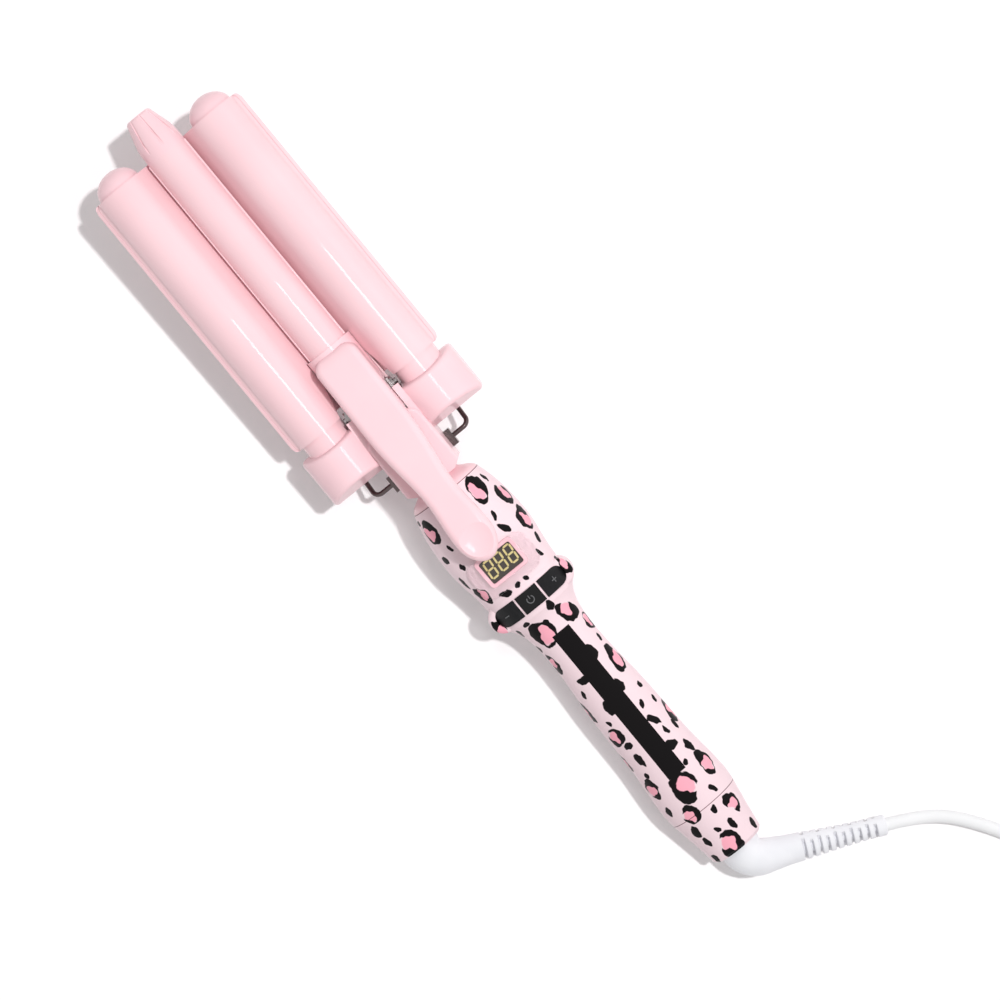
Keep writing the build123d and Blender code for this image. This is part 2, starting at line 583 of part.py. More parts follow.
# ------------------------------------------------------------------ lever bracket
BRACKET_HALF_WIDTH = 7.6
BRACKET_PLATE = 1.2
BRACKET_TOP = 12.2
BRACKET_REAR = -8.0
with BuildPart() as lever_bracket:
    with BuildSketch(across(BRACKET_REAR)):
        with Locations((0, BRACKET_TOP - BRACKET_PLATE / 2)):
            Rectangle(2 * BRACKET_HALF_WIDTH, BRACKET_PLATE)
        ear_drop = BRACKET_TOP - PIN_HEIGHT + PIN_R + 1.6
        for s in (1, -1):
            with Locations((s * (BRACKET_HALF_WIDTH - BRACKET_PLATE / 2), BRACKET_TOP - ear_drop / 2)):
                Rectangle(BRACKET_PLATE, ear_drop)
    extrude(amount=CENTRE_REAR - BRACKET_REAR)
    with BuildSketch(across(CENTRE_REAR - BRACKET_PLATE)):
        Circle(CENTRE_BARREL_R)
    extrude(amount=BRACKET_PLATE)
    with BuildSketch(across(CENTRE_REAR)):
        Circle(CENTRE_BORE_R - SEAT)
    extrude(amount=PLUG_DEPTH)
    with BuildSketch(Plane.XZ):
        with Locations((0, PIN_HEIGHT)):
            Circle(PIN_R + RUNNING)
    extrude(amount=2 * BRACKET_HALF_WIDTH, both=True, mode=Mode.SUBTRACT)
keep(lever_bracket, "lever_bracket")

# ------------------------------------------------------------------ barrel band
BAND_R = CENTRE_BARREL_R + 1.5
with BuildPart() as barrel_band:
    with BuildSketch(across(CENTRE_REAR)):
        Circle(BAND_R)
        Circle(CENTRE_BARREL_R + SEAT, mode=Mode.SUBTRACT)
        with Locations((0, -BAND_R)):
            Rectangle(2 * BAND_R, 2 * BAND_R, mode=Mode.SUBTRACT)
    extrude(amount=BAND_FRONT - CENTRE_REAR)
keep(barrel_band, "barrel_band")

# ------------------------------------------------------------------ lever cover
LEVER_SETBACK = 1.9      # from the band's front edge to the lever's nose
LEVER_FRONT = BAND_FRONT - LEVER_SETBACK
NOSE_R = 5.2
THUMB_HALF_WIDTH = 8.4
THUMB_RISE = 16.0        # the thumb rest's end above the handle's bulge
LEVER_WAIST = 7.2
LEVER_OVERLAP = 2.0      # how far the thumb rest reaches over the display bezel
LEVER_REAR = BEZEL_START - LEVER_OVERLAP
THUMB_LENGTH = 12.2      # from the thumb rest's middle to the lever's end
THUMB_MIDDLE = LEVER_REAR + THUMB_LENGTH
THUMB_TOP = BULGE_R + THUMB_RISE
THUMB_THICKNESS = 3.8
LEVER_KNEE = 23.4        # height of the lever's back where it passes the housings' rear
DISH_R = 21.0
DISH_DEPTH = 1.2
LEVER_ROUND = 3.0
with BuildPart() as lever_cover:
    # Seen from above: a long tongue with a rounded nose and an oval thumb rest.
    with BuildSketch(Plane.XY):
        with BuildLine() as plan:
            Line((LEVER_FRONT, 0), (LEVER_FRONT, LEVER_HALF_WIDTH - NOSE_R))
            EllipticalCenterArc((LEVER_FRONT - NOSE_R, LEVER_HALF_WIDTH - NOSE_R), NOSE_R, NOSE_R, 0, arc_size=90)
            Line((LEVER_FRONT - NOSE_R, LEVER_HALF_WIDTH), (BRACKET_REAR, LEVER_HALF_WIDTH))
            Spline(
                (BRACKET_REAR, LEVER_HALF_WIDTH), (BEAM_FRONT, LEVER_HALF_WIDTH - 0.4),
                (HANDLE_FRONT, LEVER_WAIST), (THUMB_MIDDLE, THUMB_HALF_WIDTH),
                tangents=((-1, 0), (-1, 0)),
            )
            EllipticalCenterArc((THUMB_MIDDLE, 0), THUMB_MIDDLE - LEVER_REAR, THUMB_HALF_WIDTH, 90, arc_size=90)
            mirror(about=Plane.XZ)
        make_face()
    extrude(amount=2 * THUMB_TOP)
    # Seen from the side: it rises from the band over the neck to the thumb rest.
    with BuildSketch(Plane.XZ):
        with BuildLine():
            Spline(
                (LEVER_FRONT, BAND_R - 4.1), (LEVER_FRONT - 0.9, BAND_R + 1.2), (LEVER_FRONT - 8.6, BAND_R + 4.0),
                (0, BAND_R + 6.8), (HOUSING_REAR, LEVER_KNEE), (HANDLE_FRONT, THUMB_TOP - 6.4),
                (THUMB_MIDDLE, THUMB_TOP - 1.6), (LEVER_REAR, THUMB_TOP),
            )
            Line((LEVER_REAR, THUMB_TOP), (LEVER_REAR, THUMB_TOP - THUMB_THICKNESS))
            Spline(
                (LEVER_REAR, THUMB_TOP - THUMB_THICKNESS), (THUMB_MIDDLE, THUMB_TOP - 6.0),
                (HANDLE_FRONT, THUMB_TOP - 10.8), (HOUSING_REAR, LEVER_KNEE - 4.8),
                (BRACKET_REAR - 1, BRACKET_TOP + 0.6),
            )
            Polyline(
                (BRACKET_REAR - 1, BRACKET_TOP + 0.6), (BRACKET_REAR - 0.5, 1.0), (CENTRE_REAR - EASE, 0.5),
                (CENTRE_REAR - EASE, 3.5), (LEVER_FRONT, 3.5), (LEVER_FRONT, BAND_R - 4.1),
            )
        make_face()
    extrude(amount=2 * LEVER_HALF_WIDTH, both=True, mode=Mode.INTERSECT)
    crest = lever_cover.edges().filter_by(
        lambda e: e.center().Z > BAND_R + 3.4 and abs(e.center().Y) > 2.0 and e.length > LEVER_FRONT
    )
    long_top = crest.sort_by(lambda e: e.center().Z)[-2:]
    fillet(long_top, radius=LEVER_ROUND)
    # It sits astride the band and is hollow over the bracket.
    with BuildSketch(across(CENTRE_REAR - BRACKET_PLATE - EASE)):
        Circle(BAND_R + SEAT)
    extrude(amount=BAND_FRONT, mode=Mode.SUBTRACT)
    with BuildSketch(across(BRACKET_REAR - 2.0)):
        with Locations((0, BRACKET_TOP / 2)):
            Rectangle(2 * BRACKET_HALF_WIDTH + 2 * EASE, BRACKET_TOP)
    extrude(amount=CENTRE_REAR - BRACKET_REAR + 2.0, mode=Mode.SUBTRACT)
    with BuildSketch(Plane.XZ):
        with Locations((0, PIN_HEIGHT)):
            Circle(PIN_R + 2 * RUNNING)
    extrude(amount=2 * LEVER_HALF_WIDTH, both=True, mode=Mode.SUBTRACT)
    # The thumb dish.
    dish_height = THUMB_TOP - 1.6 - DISH_DEPTH + DISH_R
    dish = Pos(THUMB_MIDDLE, 0, dish_height) * Sphere(DISH_R, mode=Mode.PRIVATE)
    add(dish, mode=Mode.SUBTRACT)
keep(lever_cover, "lever_cover")

# ------------------------------------------------------------------ neck shells
NECK_NOSE_R = 6.0
ARM_FRONT = HOUSING_FRONT + 1.0
ARM_THICKNESS = 1.4
BOSS_R = 3.4
HEAD_R = 2.7
HEAD_HEIGHT = 1.6
FLANGE_R = FRONT_R - SHELL_WALL - 0.2
FLANGE_LENGTH = 2.5
SCREW_LENGTH = 11.0
BRACKET_STRAP = 1.0
NECK_FRONT_SEAT = -NECK_HALF_HEIGHT + HEAD_HEIGHT + 2.4
NECK_REAR_SEAT = -NECK_HALF_HEIGHT - BRACKET_STRAP
for name, half, up in (("neck_upper_shell", Keep.TOP, 1), ("neck_lower_shell", Keep.BOTTOM, -1)):
    with BuildPart() as neck_shell:
        with BuildSketch(Plane.XY.offset(-NECK_HALF_HEIGHT)):
            with BuildLine():
                Polyline(
                    (NECK_FRONT, 0), (NECK_FRONT, NECK_HALF_WIDTH), (NECK_REAR, NECK_HALF_WIDTH),
                    (THROAT_FRONT, THROAT_R), (THROAT_FRONT, 0),
                )
                mirror(about=Plane.XZ)
            make_face()
            front_corners = vertices().group_by(Axis.X)[-1].filter_by(lambda v: abs(v.Y) > 1)
            fillet(front_corners, radius=NECK_NOSE_R)
        extrude(amount=2 * NECK_HALF_HEIGHT)
        long_edges = neck_shell.edges().filter_by(Axis.X).group_by(Axis.Z)[-1]
        fillet(long_edges, radius=1.5)
        revolve(ring(THROAT_FRONT, HANDLE_FRONT - SHELL_WALL - FLANGE_LENGTH, 0, THROAT_R - SEAT), axis=Axis.X)
        revolve(ring(HANDLE_FRONT - SHELL_WALL, HANDLE_FRONT - SHELL_WALL - FLANGE_LENGTH, 0, FLANGE_R), axis=Axis.X)
        # Hollow: a chamber for the frame and the leads, and the bore of the throat.
        with BuildSketch(Plane.XY.offset(-NECK_HALF_HEIGHT + NECK_WALL)):
            with Locations(((NECK_FRONT + NECK_REAR) / 2 - NECK_WALL / 2, 0)):
                Rectangle(NECK_LENGTH - 1.5 * NECK_WALL, 2 * (NECK_HALF_WIDTH - NECK_WALL))
        extrude(amount=2 * (NECK_HALF_HEIGHT - NECK_WALL), mode=Mode.SUBTRACT)
        revolve(ring(NECK_REAR + NECK_WALL, HANDLE_FRONT - SHELL_WALL - FLANGE_LENGTH, 0, THROAT_R - NECK_WALL), axis=Axis.X, mode=Mode.SUBTRACT)
        # Windows for the beam and the ears, which also leave room for the lever's rear end.
        with BuildSketch(across(BEAM_REAR)):
            with Locations((0, (BEAM_TOP - BEAM_BOTTOM) / 2)):
                Rectangle(3 * NECK_HALF_WIDTH, BEAM_TOP + BEAM_BOTTOM + 2 * SEAT)
        extrude(amount=BEAM_THICKNESS, mode=Mode.SUBTRACT)
        with BuildSketch(across(BEAM_FRONT)):
            for s in (1, -1):
                with Locations((s * (EAR_INNER + EAR_OUTER) / 2, 0)):
                    Rectangle(EAR_THICKNESS + 2 * SEAT, 2 * NECK_HALF_HEIGHT - 2 * NECK_WALL)
        extrude(amount=-BEAM_FRONT, mode=Mode.SUBTRACT)
        # Screw bosses.
        for station, meets_bar in zip(NECK_SCREW_STATIONS, (False, True)):
            low = (BAR_TOP if up > 0 else BAR_TOP - BAR_THICKNESS) if meets_bar else 0.0
            with BuildSketch(Plane.XY.offset(low)):
                with Locations((station, 0)):
                    Circle(BOSS_R)
            extrude(amount=up * (NECK_HALF_HEIGHT - 1.0) - low)
            with BuildSketch(Plane.XY.offset(-NECK_HALF_HEIGHT)):
                with Locations((station, 0)):
                    Circle(SCREW_R + SEAT)
            extrude(amount=NECK_HALF_HEIGHT + 6.4, mode=Mode.SUBTRACT)
        if up > 0:
            # Two arms run forward over the ears, between the lever and the housings.
            with BuildSketch(Plane.XY.offset(PIN_HEIGHT + CLIP_R + EASE + 0.2)):
                for s in (1, -1):
                    with Locations(((ARM_FRONT + NECK_FRONT - NECK_NOSE_R) / 2, s * (EAR_INNER + NECK_HALF_WIDTH) / 2)):
                        Rectangle(ARM_FRONT - NECK_FRONT + NECK_NOSE_R, NECK_HALF_WIDTH - EAR_INNER)
            extrude(amount=ARM_THICKNESS)
            # A slot in the nose for the spring's leg.
            with BuildSketch(Plane.XY):
                with Locations((NECK_FRONT - NECK_WALL, 0)):
                    Rectangle(4 * NECK_WALL, SPRING_WIDTH + 2 * SPRING_SHIFT + 2.0)
            extrude(amount=PIN_HEIGHT - SPRING_R + 1.0, mode=Mode.SUBTRACT)
            split(bisect_by=Plane.XY.offset(BAR_TOP), keep=Keep.TOP)
            with BuildSketch(Plane.XY.offset(-NECK_HALF_HEIGHT)):
                with Locations(((NECK_FRONT + HANDLE_FRONT) / 2, 0)):
                    Rectangle(4 * NECK_LENGTH, 4 * NECK_HALF_WIDTH)
                with Locations((NECK_SCREW_STATIONS[1], 0)):
                    Circle(BOSS_R, mode=Mode.SUBTRACT)
            extrude(amount=NECK_HALF_HEIGHT, mode=Mode.SUBTRACT)
        else:
            split(bisect_by=Plane.XY, keep=Keep.BOTTOM)
            with BuildSketch(Plane.XY.offset(-NECK_HALF_HEIGHT)):
                with Locations((NECK_SCREW_STATIONS[0], 0)):
                    Circle(HEAD_R + EASE)
            extrude(amount=NECK_FRONT_SEAT + NECK_HALF_HEIGHT, mode=Mode.SUBTRACT)
    keep(neck_shell, name)

# ------------------------------------------------------------------ front ring
with BuildPart() as front_ring:
    with BuildSketch(Plane.XZ):
        with BuildLine():
            Spline(
                (THROAT_FRONT, THROAT_R + 0.4), (THROAT_FRONT - 0.35 * RING_LENGTH, 0.78 * FRONT_R),
                (THROAT_FRONT - 0.7 * RING_LENGTH, 0.94 * FRONT_R), (HANDLE_FRONT, FRONT_R - 0.1),
            )
            Polyline(
                (HANDLE_FRONT, FRONT_R - 0.1), (HANDLE_FRONT, THROAT_R), (THROAT_FRONT, THROAT_R),
                (THROAT_FRONT, THROAT_R + 0.4),
            )
        make_face()
    revolve(axis=Axis.X)
keep(front_ring, "front_ring")

# ------------------------------------------------------------------ stand bracket and wire
PIVOT_X = HOUSING_REAR - STAND_PIVOT_BACK
LUG_LENGTH = 7.2
LUG_REACH = 2.8
LUG_HALF_HEIGHT = 2.5
with BuildPart() as stand_bracket:
    strap_outer = NECK_HALF_WIDTH + BRACKET_STRAP
    with BuildSketch(across(PIVOT_X - LUG_LENGTH / 2)):
        with Locations((0, -NECK_HALF_HEIGHT - BRACKET_STRAP / 2)):
            Rectangle(2 * strap_outer, BRACKET_STRAP)
        strap_rise = STAND_PIVOT_HEIGHT + LUG_HALF_HEIGHT + NECK_HALF_HEIGHT + BRACKET_STRAP
        for s in (1, -1):
            with Locations((s * (strap_outer - BRACKET_STRAP / 2), strap_rise / 2 - NECK_HALF_HEIGHT - BRACKET_STRAP)):
                Rectangle(BRACKET_STRAP, strap_rise)
            with Locations((s * (NECK_HALF_WIDTH + LUG_REACH / 2), STAND_PIVOT_HEIGHT)):
                Rectangle(LUG_REACH, 2 * LUG_HALF_HEIGHT)
    extrude(amount=LUG_LENGTH)
    with BuildSketch(Plane.XZ):
        with Locations((PIVOT_X, STAND_PIVOT_HEIGHT)):
            Circle(STAND_WIRE_R + RUNNING)
    extrude(amount=2 * NECK_HALF_WIDTH, both=True, mode=Mode.SUBTRACT)
    with BuildSketch(Plane.XY.offset(-NECK_HALF_HEIGHT - BRACKET_STRAP)):
        with Locations((PIVOT_X, 0)):
            Circle(SCREW_R + EASE)
    extrude(amount=BRACKET_STRAP, mode=Mode.SUBTRACT)
keep(stand_bracket, "stand_bracket")

# The legs lean forward until they bear on the housings' lower rear edges.
edge_down = STAND_PIVOT_HEIGHT + HOUSING_BOTTOM
edge_away = hypot(STAND_PIVOT_BACK, edge_down)
LEG_ANGLE = degrees(atan2(edge_down, STAND_PIVOT_BACK) + asin((STAND_WIRE_R + EASE) / edge_away))
PIVOT_FLOOR = lie(PIVOT_X, 0, STAND_PIVOT_HEIGHT).Z
LEG_LENGTH = (PIVOT_FLOOR - STAND_WIRE_R) / sin(radians(LEG_ANGLE - TILT))
FOOT_X = PIVOT_X + LEG_LENGTH * cos(radians(LEG_ANGLE))
FOOT_Z = STAND_PIVOT_HEIGHT - LEG_LENGTH * sin(radians(LEG_ANGLE))
with BuildPart() as stand_wire:
    with BuildLine():
        wire_end = NECK_HALF_WIDTH + EASE
        stand_line = FilletPolyline(
            (PIVOT_X, wire_end, STAND_PIVOT_HEIGHT), (PIVOT_X, STAND_HALF_WIDTH, STAND_PIVOT_HEIGHT),
            (FOOT_X, STAND_HALF_WIDTH, FOOT_Z), (FOOT_X, -STAND_HALF_WIDTH, FOOT_Z),
            (PIVOT_X, -STAND_HALF_WIDTH, STAND_PIVOT_HEIGHT), (PIVOT_X, -wire_end, STAND_PIVOT_HEIGHT),
            radius=STAND_BEND,
        )
    with BuildSketch(Plane(origin=stand_line @ 0, z_dir=stand_line % 0)):
        Circle(STAND_WIRE_R)
    sweep()
keep(stand_wire, "stand_wire")

# ------------------------------------------------------------------ handle shells
SHELL_SCREW_STATIONS = (
    HANDLE_FRONT - 0.28 * FRONT_LENGTH, COLLAR_REAR - 0.165 * GRIP_LENGTH, COLLAR_REAR - 0.87 * GRIP_LENGTH,
)
SHELL_BOSS_R = 4.2
SHELL_SEAT = -5.0
BOARD_FRONT = BEZEL_START + 8.4
BOARD_REAR = COLLAR_REAR - 1.8
BOARD_TOP = BOARD_HEIGHT + BOARD_THICKNESS
BOARD_MARGIN = 1.6       # from the board's edge to the wall beside it
BOARD_HALF_WIDTH = sqrt((COLLAR_SEAT_R - SHELL_WALL - 0.4) ** 2 - BOARD_TOP**2) - BOARD_MARGIN
POST_R = 1.6
POST_PILOT_R = 0.8
CONTROL_POSTS = [(x, s * (BOARD_HALF_WIDTH - 2.2)) for x in (BOARD_FRONT - 2.6, BOARD_REAR + 2.6) for s in (1, -1)]
POWER_FRONT = COLLAR_REAR - 0.23 * GRIP_LENGTH
POWER_REAR = COLLAR_REAR - 0.78 * GRIP_LENGTH
POWER_HEIGHT = -4.0
POWER_HALF_WIDTH_BOARD = 7.2
POWER_POSTS = [(POWER_FRONT - 3.0, 0), (POWER_REAR + 3.0, 0)]
WINDOW_FRONT = BEZEL_START - 1.6
WINDOW_MIDDLE = WINDOW_FRONT - WINDOW_LENGTH / 2
STEM_R = 1.4
STEM_Y = BOARD_HALF_WIDTH - 2.0
LEAD_HEIGHT = BOARD_HEIGHT - 4.0


def post(x, y, start, reach, radius):
    """A post from height start towards the shell, ending inside its wall."""
    length = sqrt(max(cavity_radius(x) ** 2 - y**2, 1.0)) + 0.8 - abs(start)
    with BuildSketch(Plane.XY.offset(start)) as section:
        with Locations((x, y)):
            Circle(radius)
    extrude(section.sketch, amount=reach * length)


for name, half, up in (("handle_upper_shell", Keep.TOP, 1), ("handle_lower_shell", Keep.BOTTOM, -1)):
    with BuildPart() as handle_shell:
        revolve(outline(FRONT_STATIONS), axis=Axis.X)
        revolve(outline(GRIP_STATIONS), axis=Axis.X)
        revolve(ring(COLLAR_FRONT, COLLAR_REAR, 0, COLLAR_SEAT_R), axis=Axis.X)
        revolve(outline(CAVITY_STATIONS), axis=Axis.X, mode=Mode.SUBTRACT)
        revolve(ring(HANDLE_FRONT, HANDLE_FRONT - SHELL_WALL, 0, THROAT_R), axis=Axis.X, mode=Mode.SUBTRACT)
        for station in SHELL_SCREW_STATIONS:
            post(station, 0, 0.0, up, SHELL_BOSS_R)
        if up > 0:
            for x, y in CONTROL_POSTS:
                post(x, y, BOARD_TOP, 1, POST_R)
            with BuildSketch(Plane.XY.offset(BOARD_TOP)):
                with Locations(*CONTROL_POSTS):
                    Circle(POST_PILOT_R)
            extrude(amount=3.2, mode=Mode.SUBTRACT)
            with BuildSketch(Plane.XY):
                with Locations(*[(station, 0) for station in SHELL_SCREW_STATIONS]):
                    Circle(SCREW_R + SEAT)
            extrude(amount=6.5, mode=Mode.SUBTRACT)
            # The display's opening and the holes for the button stems.
            with BuildSketch(Plane.XY.offset(BOARD_TOP)):
                with Locations((WINDOW_MIDDLE, 0)):
                    Rectangle(WINDOW_LENGTH + 2 * EASE, 2 * WINDOW_HALF_WIDTH + 2 * EASE)
                with Locations((COLLAR_MIDDLE, STEM_Y), (COLLAR_MIDDLE, 0), (COLLAR_MIDDLE, -STEM_Y)):
                    Circle(STEM_R + EASE)
            extrude(amount=BULGE_R, mode=Mode.SUBTRACT)
        else:
            for x, y in POWER_POSTS:
                post(x, y, POWER_HEIGHT, -1, POST_R)
            with BuildSketch(Plane.XY.offset(POWER_HEIGHT)):
                with Locations(*POWER_POSTS):
                    Circle(POST_PILOT_R)
            extrude(amount=-3.2, mode=Mode.SUBTRACT)
            with BuildSketch(Plane.XY):
                with Locations(*[(station, 0) for station in SHELL_SCREW_STATIONS]):
                    Circle(SCREW_R + EASE)
            extrude(amount=SHELL_SEAT, mode=Mode.SUBTRACT)
            with BuildSketch(Plane.XY.offset(SHELL_SEAT)):
                with Locations(*[(station, 0) for station in SHELL_SCREW_STATIONS]):
                    Circle(HEAD_R + EASE)
            extrude(amount=-BULGE_R, mode=Mode.SUBTRACT)
        split(bisect_by=Plane.XY, keep=half)
    keep(handle_shell, name)

with BuildPart() as case_screws:
    screw_seats = [(station, SHELL_SEAT) for station in SHELL_SCREW_STATIONS]
    screw_seats += [(NECK_SCREW_STATIONS[0], NECK_FRONT_SEAT), (NECK_SCREW_STATIONS[1], NECK_REAR_SEAT)]
    for station, seat in screw_seats:
        with BuildSketch(Plane.XY.offset(seat - HEAD_HEIGHT)):
            with Locations((station, 0)):
                Circle(HEAD_R)
        extrude(amount=HEAD_HEIGHT)
        with BuildSketch(Plane.XY.offset(seat)):
            with Locations((station, 0)):
                Circle(SCREW_R)
        extrude(amount=SCREW_LENGTH)
keep(case_screws, "case_screws")

# ------------------------------------------------------------------ button collar and buttons
BUTTON_TOP_R = COLLAR_R + BUTTON_RISE
BUTTON_THICKNESS = BUTTON_RISE + COLLAR_THICKNESS - BUTTON_TRAVEL - EASE
BUTTON_UNDER_R = BUTTON_TOP_R - BUTTON_THICKNESS
EAR_MIDDLE_Y = EAR_REACH - EAR_R
BUTTON_LOW = BUTTON_TRAVEL + 0.5     # a side button's lower edge, above the floor of its opening


def draw_buttons(grow, which=("left", "power", "right")):
    """Draw the plans of the buttons, grown all round for their openings."""
    middle = (SIDE_BUTTON_FROM + SIDE_BUTTON_TO) / 2
    for button in which:
        if button == "power":
            with Locations((COLLAR_MIDDLE, 0)):
                Rectangle(BUTTON_LENGTH + 2 * grow, 2 * POWER_HALF_WIDTH + 2 * grow)
        else:
            with Locations((COLLAR_MIDDLE, SIDES[button] * middle)):
                Rectangle(BUTTON_LENGTH + 2 * grow, SIDE_BUTTON_TO - SIDE_BUTTON_FROM + 2 * grow)
            fillet(
                vertices().filter_by(lambda v: v.Y * SIDES[button] > middle),
                radius=0.46 * BUTTON_LENGTH + grow,
            )


with BuildPart() as collar_ears:
    with BuildSketch(Plane.XY.offset(EAR_BOTTOM)):
        with Locations((COLLAR_MIDDLE, EAR_MIDDLE_Y), (COLLAR_MIDDLE, -EAR_MIDDLE_Y)):
            Circle(EAR_R)
    extrude(amount=EAR_TOP - EAR_BOTTOM)
    fillet(collar_ears.edges().filter_by(GeomType.CIRCLE), radius=EAR_ROUND)

with BuildPart() as button_collar:
    collar_stations = [
        (COLLAR_FRONT, COLLAR_R), (COLLAR_MIDDLE + 2, COLLAR_R + 0.2), (COLLAR_MIDDLE - 3, COLLAR_R - 0.2),
        (COLLAR_REAR, COLLAR_R - 1.2),
    ]
    revolve(outline(collar_stations), axis=Axis.X)
    add(collar_ears.part)
    revolve(ring(COLLAR_FRONT, COLLAR_REAR, 0, COLLAR_SEAT_R + SEAT), axis=Axis.X, mode=Mode.SUBTRACT)
    with BuildSketch(Plane.XY):
        draw_buttons(EASE)
    extrude(amount=BULGE_R + 5, mode=Mode.SUBTRACT)
keep(button_collar, "button_collar")

for button, name in (("left", "minus_button"), ("power", "power_button"), ("right", "plus_button")):
    stem_y = {"left": STEM_Y, "power": 0.0, "right": -STEM_Y}[button]
    with BuildPart() as key:
        revolve(ring(COLLAR_FRONT, COLLAR_REAR, BUTTON_UNDER_R, BUTTON_TOP_R), axis=Axis.X)
        with BuildSketch(Plane.XY.offset(BUTTON_LOW)):
            draw_buttons(0, which=(button,))
        extrude(amount=BULGE_R + 5, mode=Mode.INTERSECT)
        stem_low = BOARD_TOP + SWITCH_HEIGHT + BUTTON_TRAVEL + RUNNING
        with BuildSketch(Plane.XY.offset(stem_low)):
            with Locations((COLLAR_MIDDLE, stem_y)):
                Circle(STEM_R)
        extrude(amount=sqrt(BUTTON_UNDER_R**2 - stem_y**2) + 0.6 - stem_low)
    keep(key, name)

# ------------------------------------------------------------------ display
with BuildPart() as display_bezel:
    revolve(outline([(x, r + BEZEL_RISE) for x, r in FRONT_STATIONS]), axis=Axis.X)
    revolve(outline(FRONT_STATIONS), axis=Axis.X, mode=Mode.SUBTRACT)
    with BuildSketch(Plane.XY):
        with Locations((BEZEL_START - BEZEL_LENGTH / 2, 0)):
            RectangleRounded(BEZEL_LENGTH, 2 * BEZEL_HALF_WIDTH, BEZEL_CORNER_R)
        with Locations((WINDOW_MIDDLE, 0)):
            Rectangle(WINDOW_LENGTH + 2 * SEAT, 2 * WINDOW_HALF_WIDTH + 2 * SEAT, mode=Mode.SUBTRACT)
    extrude(amount=2 * BULGE_R, mode=Mode.INTERSECT)
keep(display_bezel, "display_bezel")

# The window and the module under it lean with the handle's crown.
WINDOW_LEAN = degrees(atan2(1.4, WINDOW_LENGTH))
window_plane = Plane.XY.offset(BULGE_R - 0.5).move(Location((WINDOW_MIDDLE, 0, 0))).rotated((0, -WINDOW_LEAN, 0))
with BuildPart() as display_window:
    with BuildSketch(window_plane):
        Rectangle(WINDOW_LENGTH - 0.2, 2 * WINDOW_HALF_WIDTH)
    extrude(amount=-1.2)
keep(display_window, "display_window")

MODULE_TOP = BULGE_R - 3.0
with BuildPart() as display_module:
    with BuildSketch(Plane.XY.offset(BOARD_TOP)):
        with Locations((WINDOW_MIDDLE, 0)):
            Rectangle(WINDOW_LENGTH - 0.4, 2 * WINDOW_HALF_WIDTH - 0.4)
    extrude(amount=MODULE_TOP - BOARD_TOP)
keep(display_module, "display_module")

# ------------------------------------------------------------------ boards
with BuildPart() as control_board:
    with BuildSketch(Plane.XY.offset(BOARD_HEIGHT)):
        with Locations(((BOARD_FRONT + BOARD_REAR) / 2, 0)):
            Rectangle(BOARD_FRONT - BOARD_REAR, 2 * BOARD_HALF_WIDTH)
        with Locations(*CONTROL_POSTS):
            Circle(POST_PILOT_R + 0.1, mode=Mode.SUBTRACT)
    extrude(amount=BOARD_THICKNESS)
keep(control_board, "control_board")

with BuildPart() as tactile_switches:
    with BuildSketch(Plane.XY.offset(BOARD_TOP)):
        with Locations((COLLAR_MIDDLE, STEM_Y), (COLLAR_MIDDLE, 0), (COLLAR_MIDDLE, -STEM_Y)):
            Rectangle(3.8, 3.8)
    extrude(amount=SWITCH_HEIGHT - 1.0)
    with BuildSketch(Plane.XY.offset(BOARD_TOP + SWITCH_HEIGHT - 1.0)):
        with Locations((COLLAR_MIDDLE, STEM_Y), (COLLAR_MIDDLE, 0), (COLLAR_MIDDLE, -STEM_Y)):
            Circle(1.0)
    extrude(amount=1.0)
keep(tactile_switches, "tactile_switches")

POWER_TOP = POWER_HEIGHT + BOARD_THICKNESS
with BuildPart() as power_board:
    with BuildSketch(Plane.XY.offset(POWER_HEIGHT)):
        with Locations(((POWER_FRONT + POWER_REAR) / 2, 0)):
            Rectangle(POWER_FRONT - POWER_REAR, 2 * POWER_HALF_WIDTH_BOARD)
        with Locations(*POWER_POSTS):
            Circle(POST_PILOT_R + 0.1, mode=Mode.SUBTRACT)
    extrude(amount=BOARD_THICKNESS)
keep(power_board, "power_board")

with BuildPart() as board_components:
    with BuildSketch(Plane.XY.offset(POWER_TOP)):
        with Locations((POWER_FRONT - 14, 0)):
            Circle(4.0)
        with Locations((POWER_FRONT - 26, 0)):
            Rectangle(9, 11)
        with Locations((POWER_FRONT - 38, -2.5)):
            Rectangle(4.5, 7)
    extrude(amount=7.5)
keep(board_components, "board_components")

with BuildPart() as board_screws:
    for x, y in CONTROL_POSTS:
        with BuildSketch(Plane.XY.offset(BOARD_HEIGHT - 1.0)):
            with Locations((x, y)):
                Circle(1.4)
        extrude(amount=1.0)
        with BuildSketch(Plane.XY.offset(BOARD_HEIGHT)):
            with Locations((x, y)):
                Circle(POST_PILOT_R - SEAT)
        extrude(amount=BOARD_THICKNESS + 3.0)
    for x, y in POWER_POSTS:
        with BuildSketch(Plane.XY.offset(POWER_TOP)):
            with Locations((x, y)):
                Circle(1.4)
        extrude(amount=1.0)
        with BuildSketch(Plane.XY.offset(POWER_TOP)):
            with Locations((x, y)):
                Circle(POST_PILOT_R - SEAT)
        extrude(amount=-BOARD_THICKNESS - 3.0)
keep(board_screws, "board_screws")

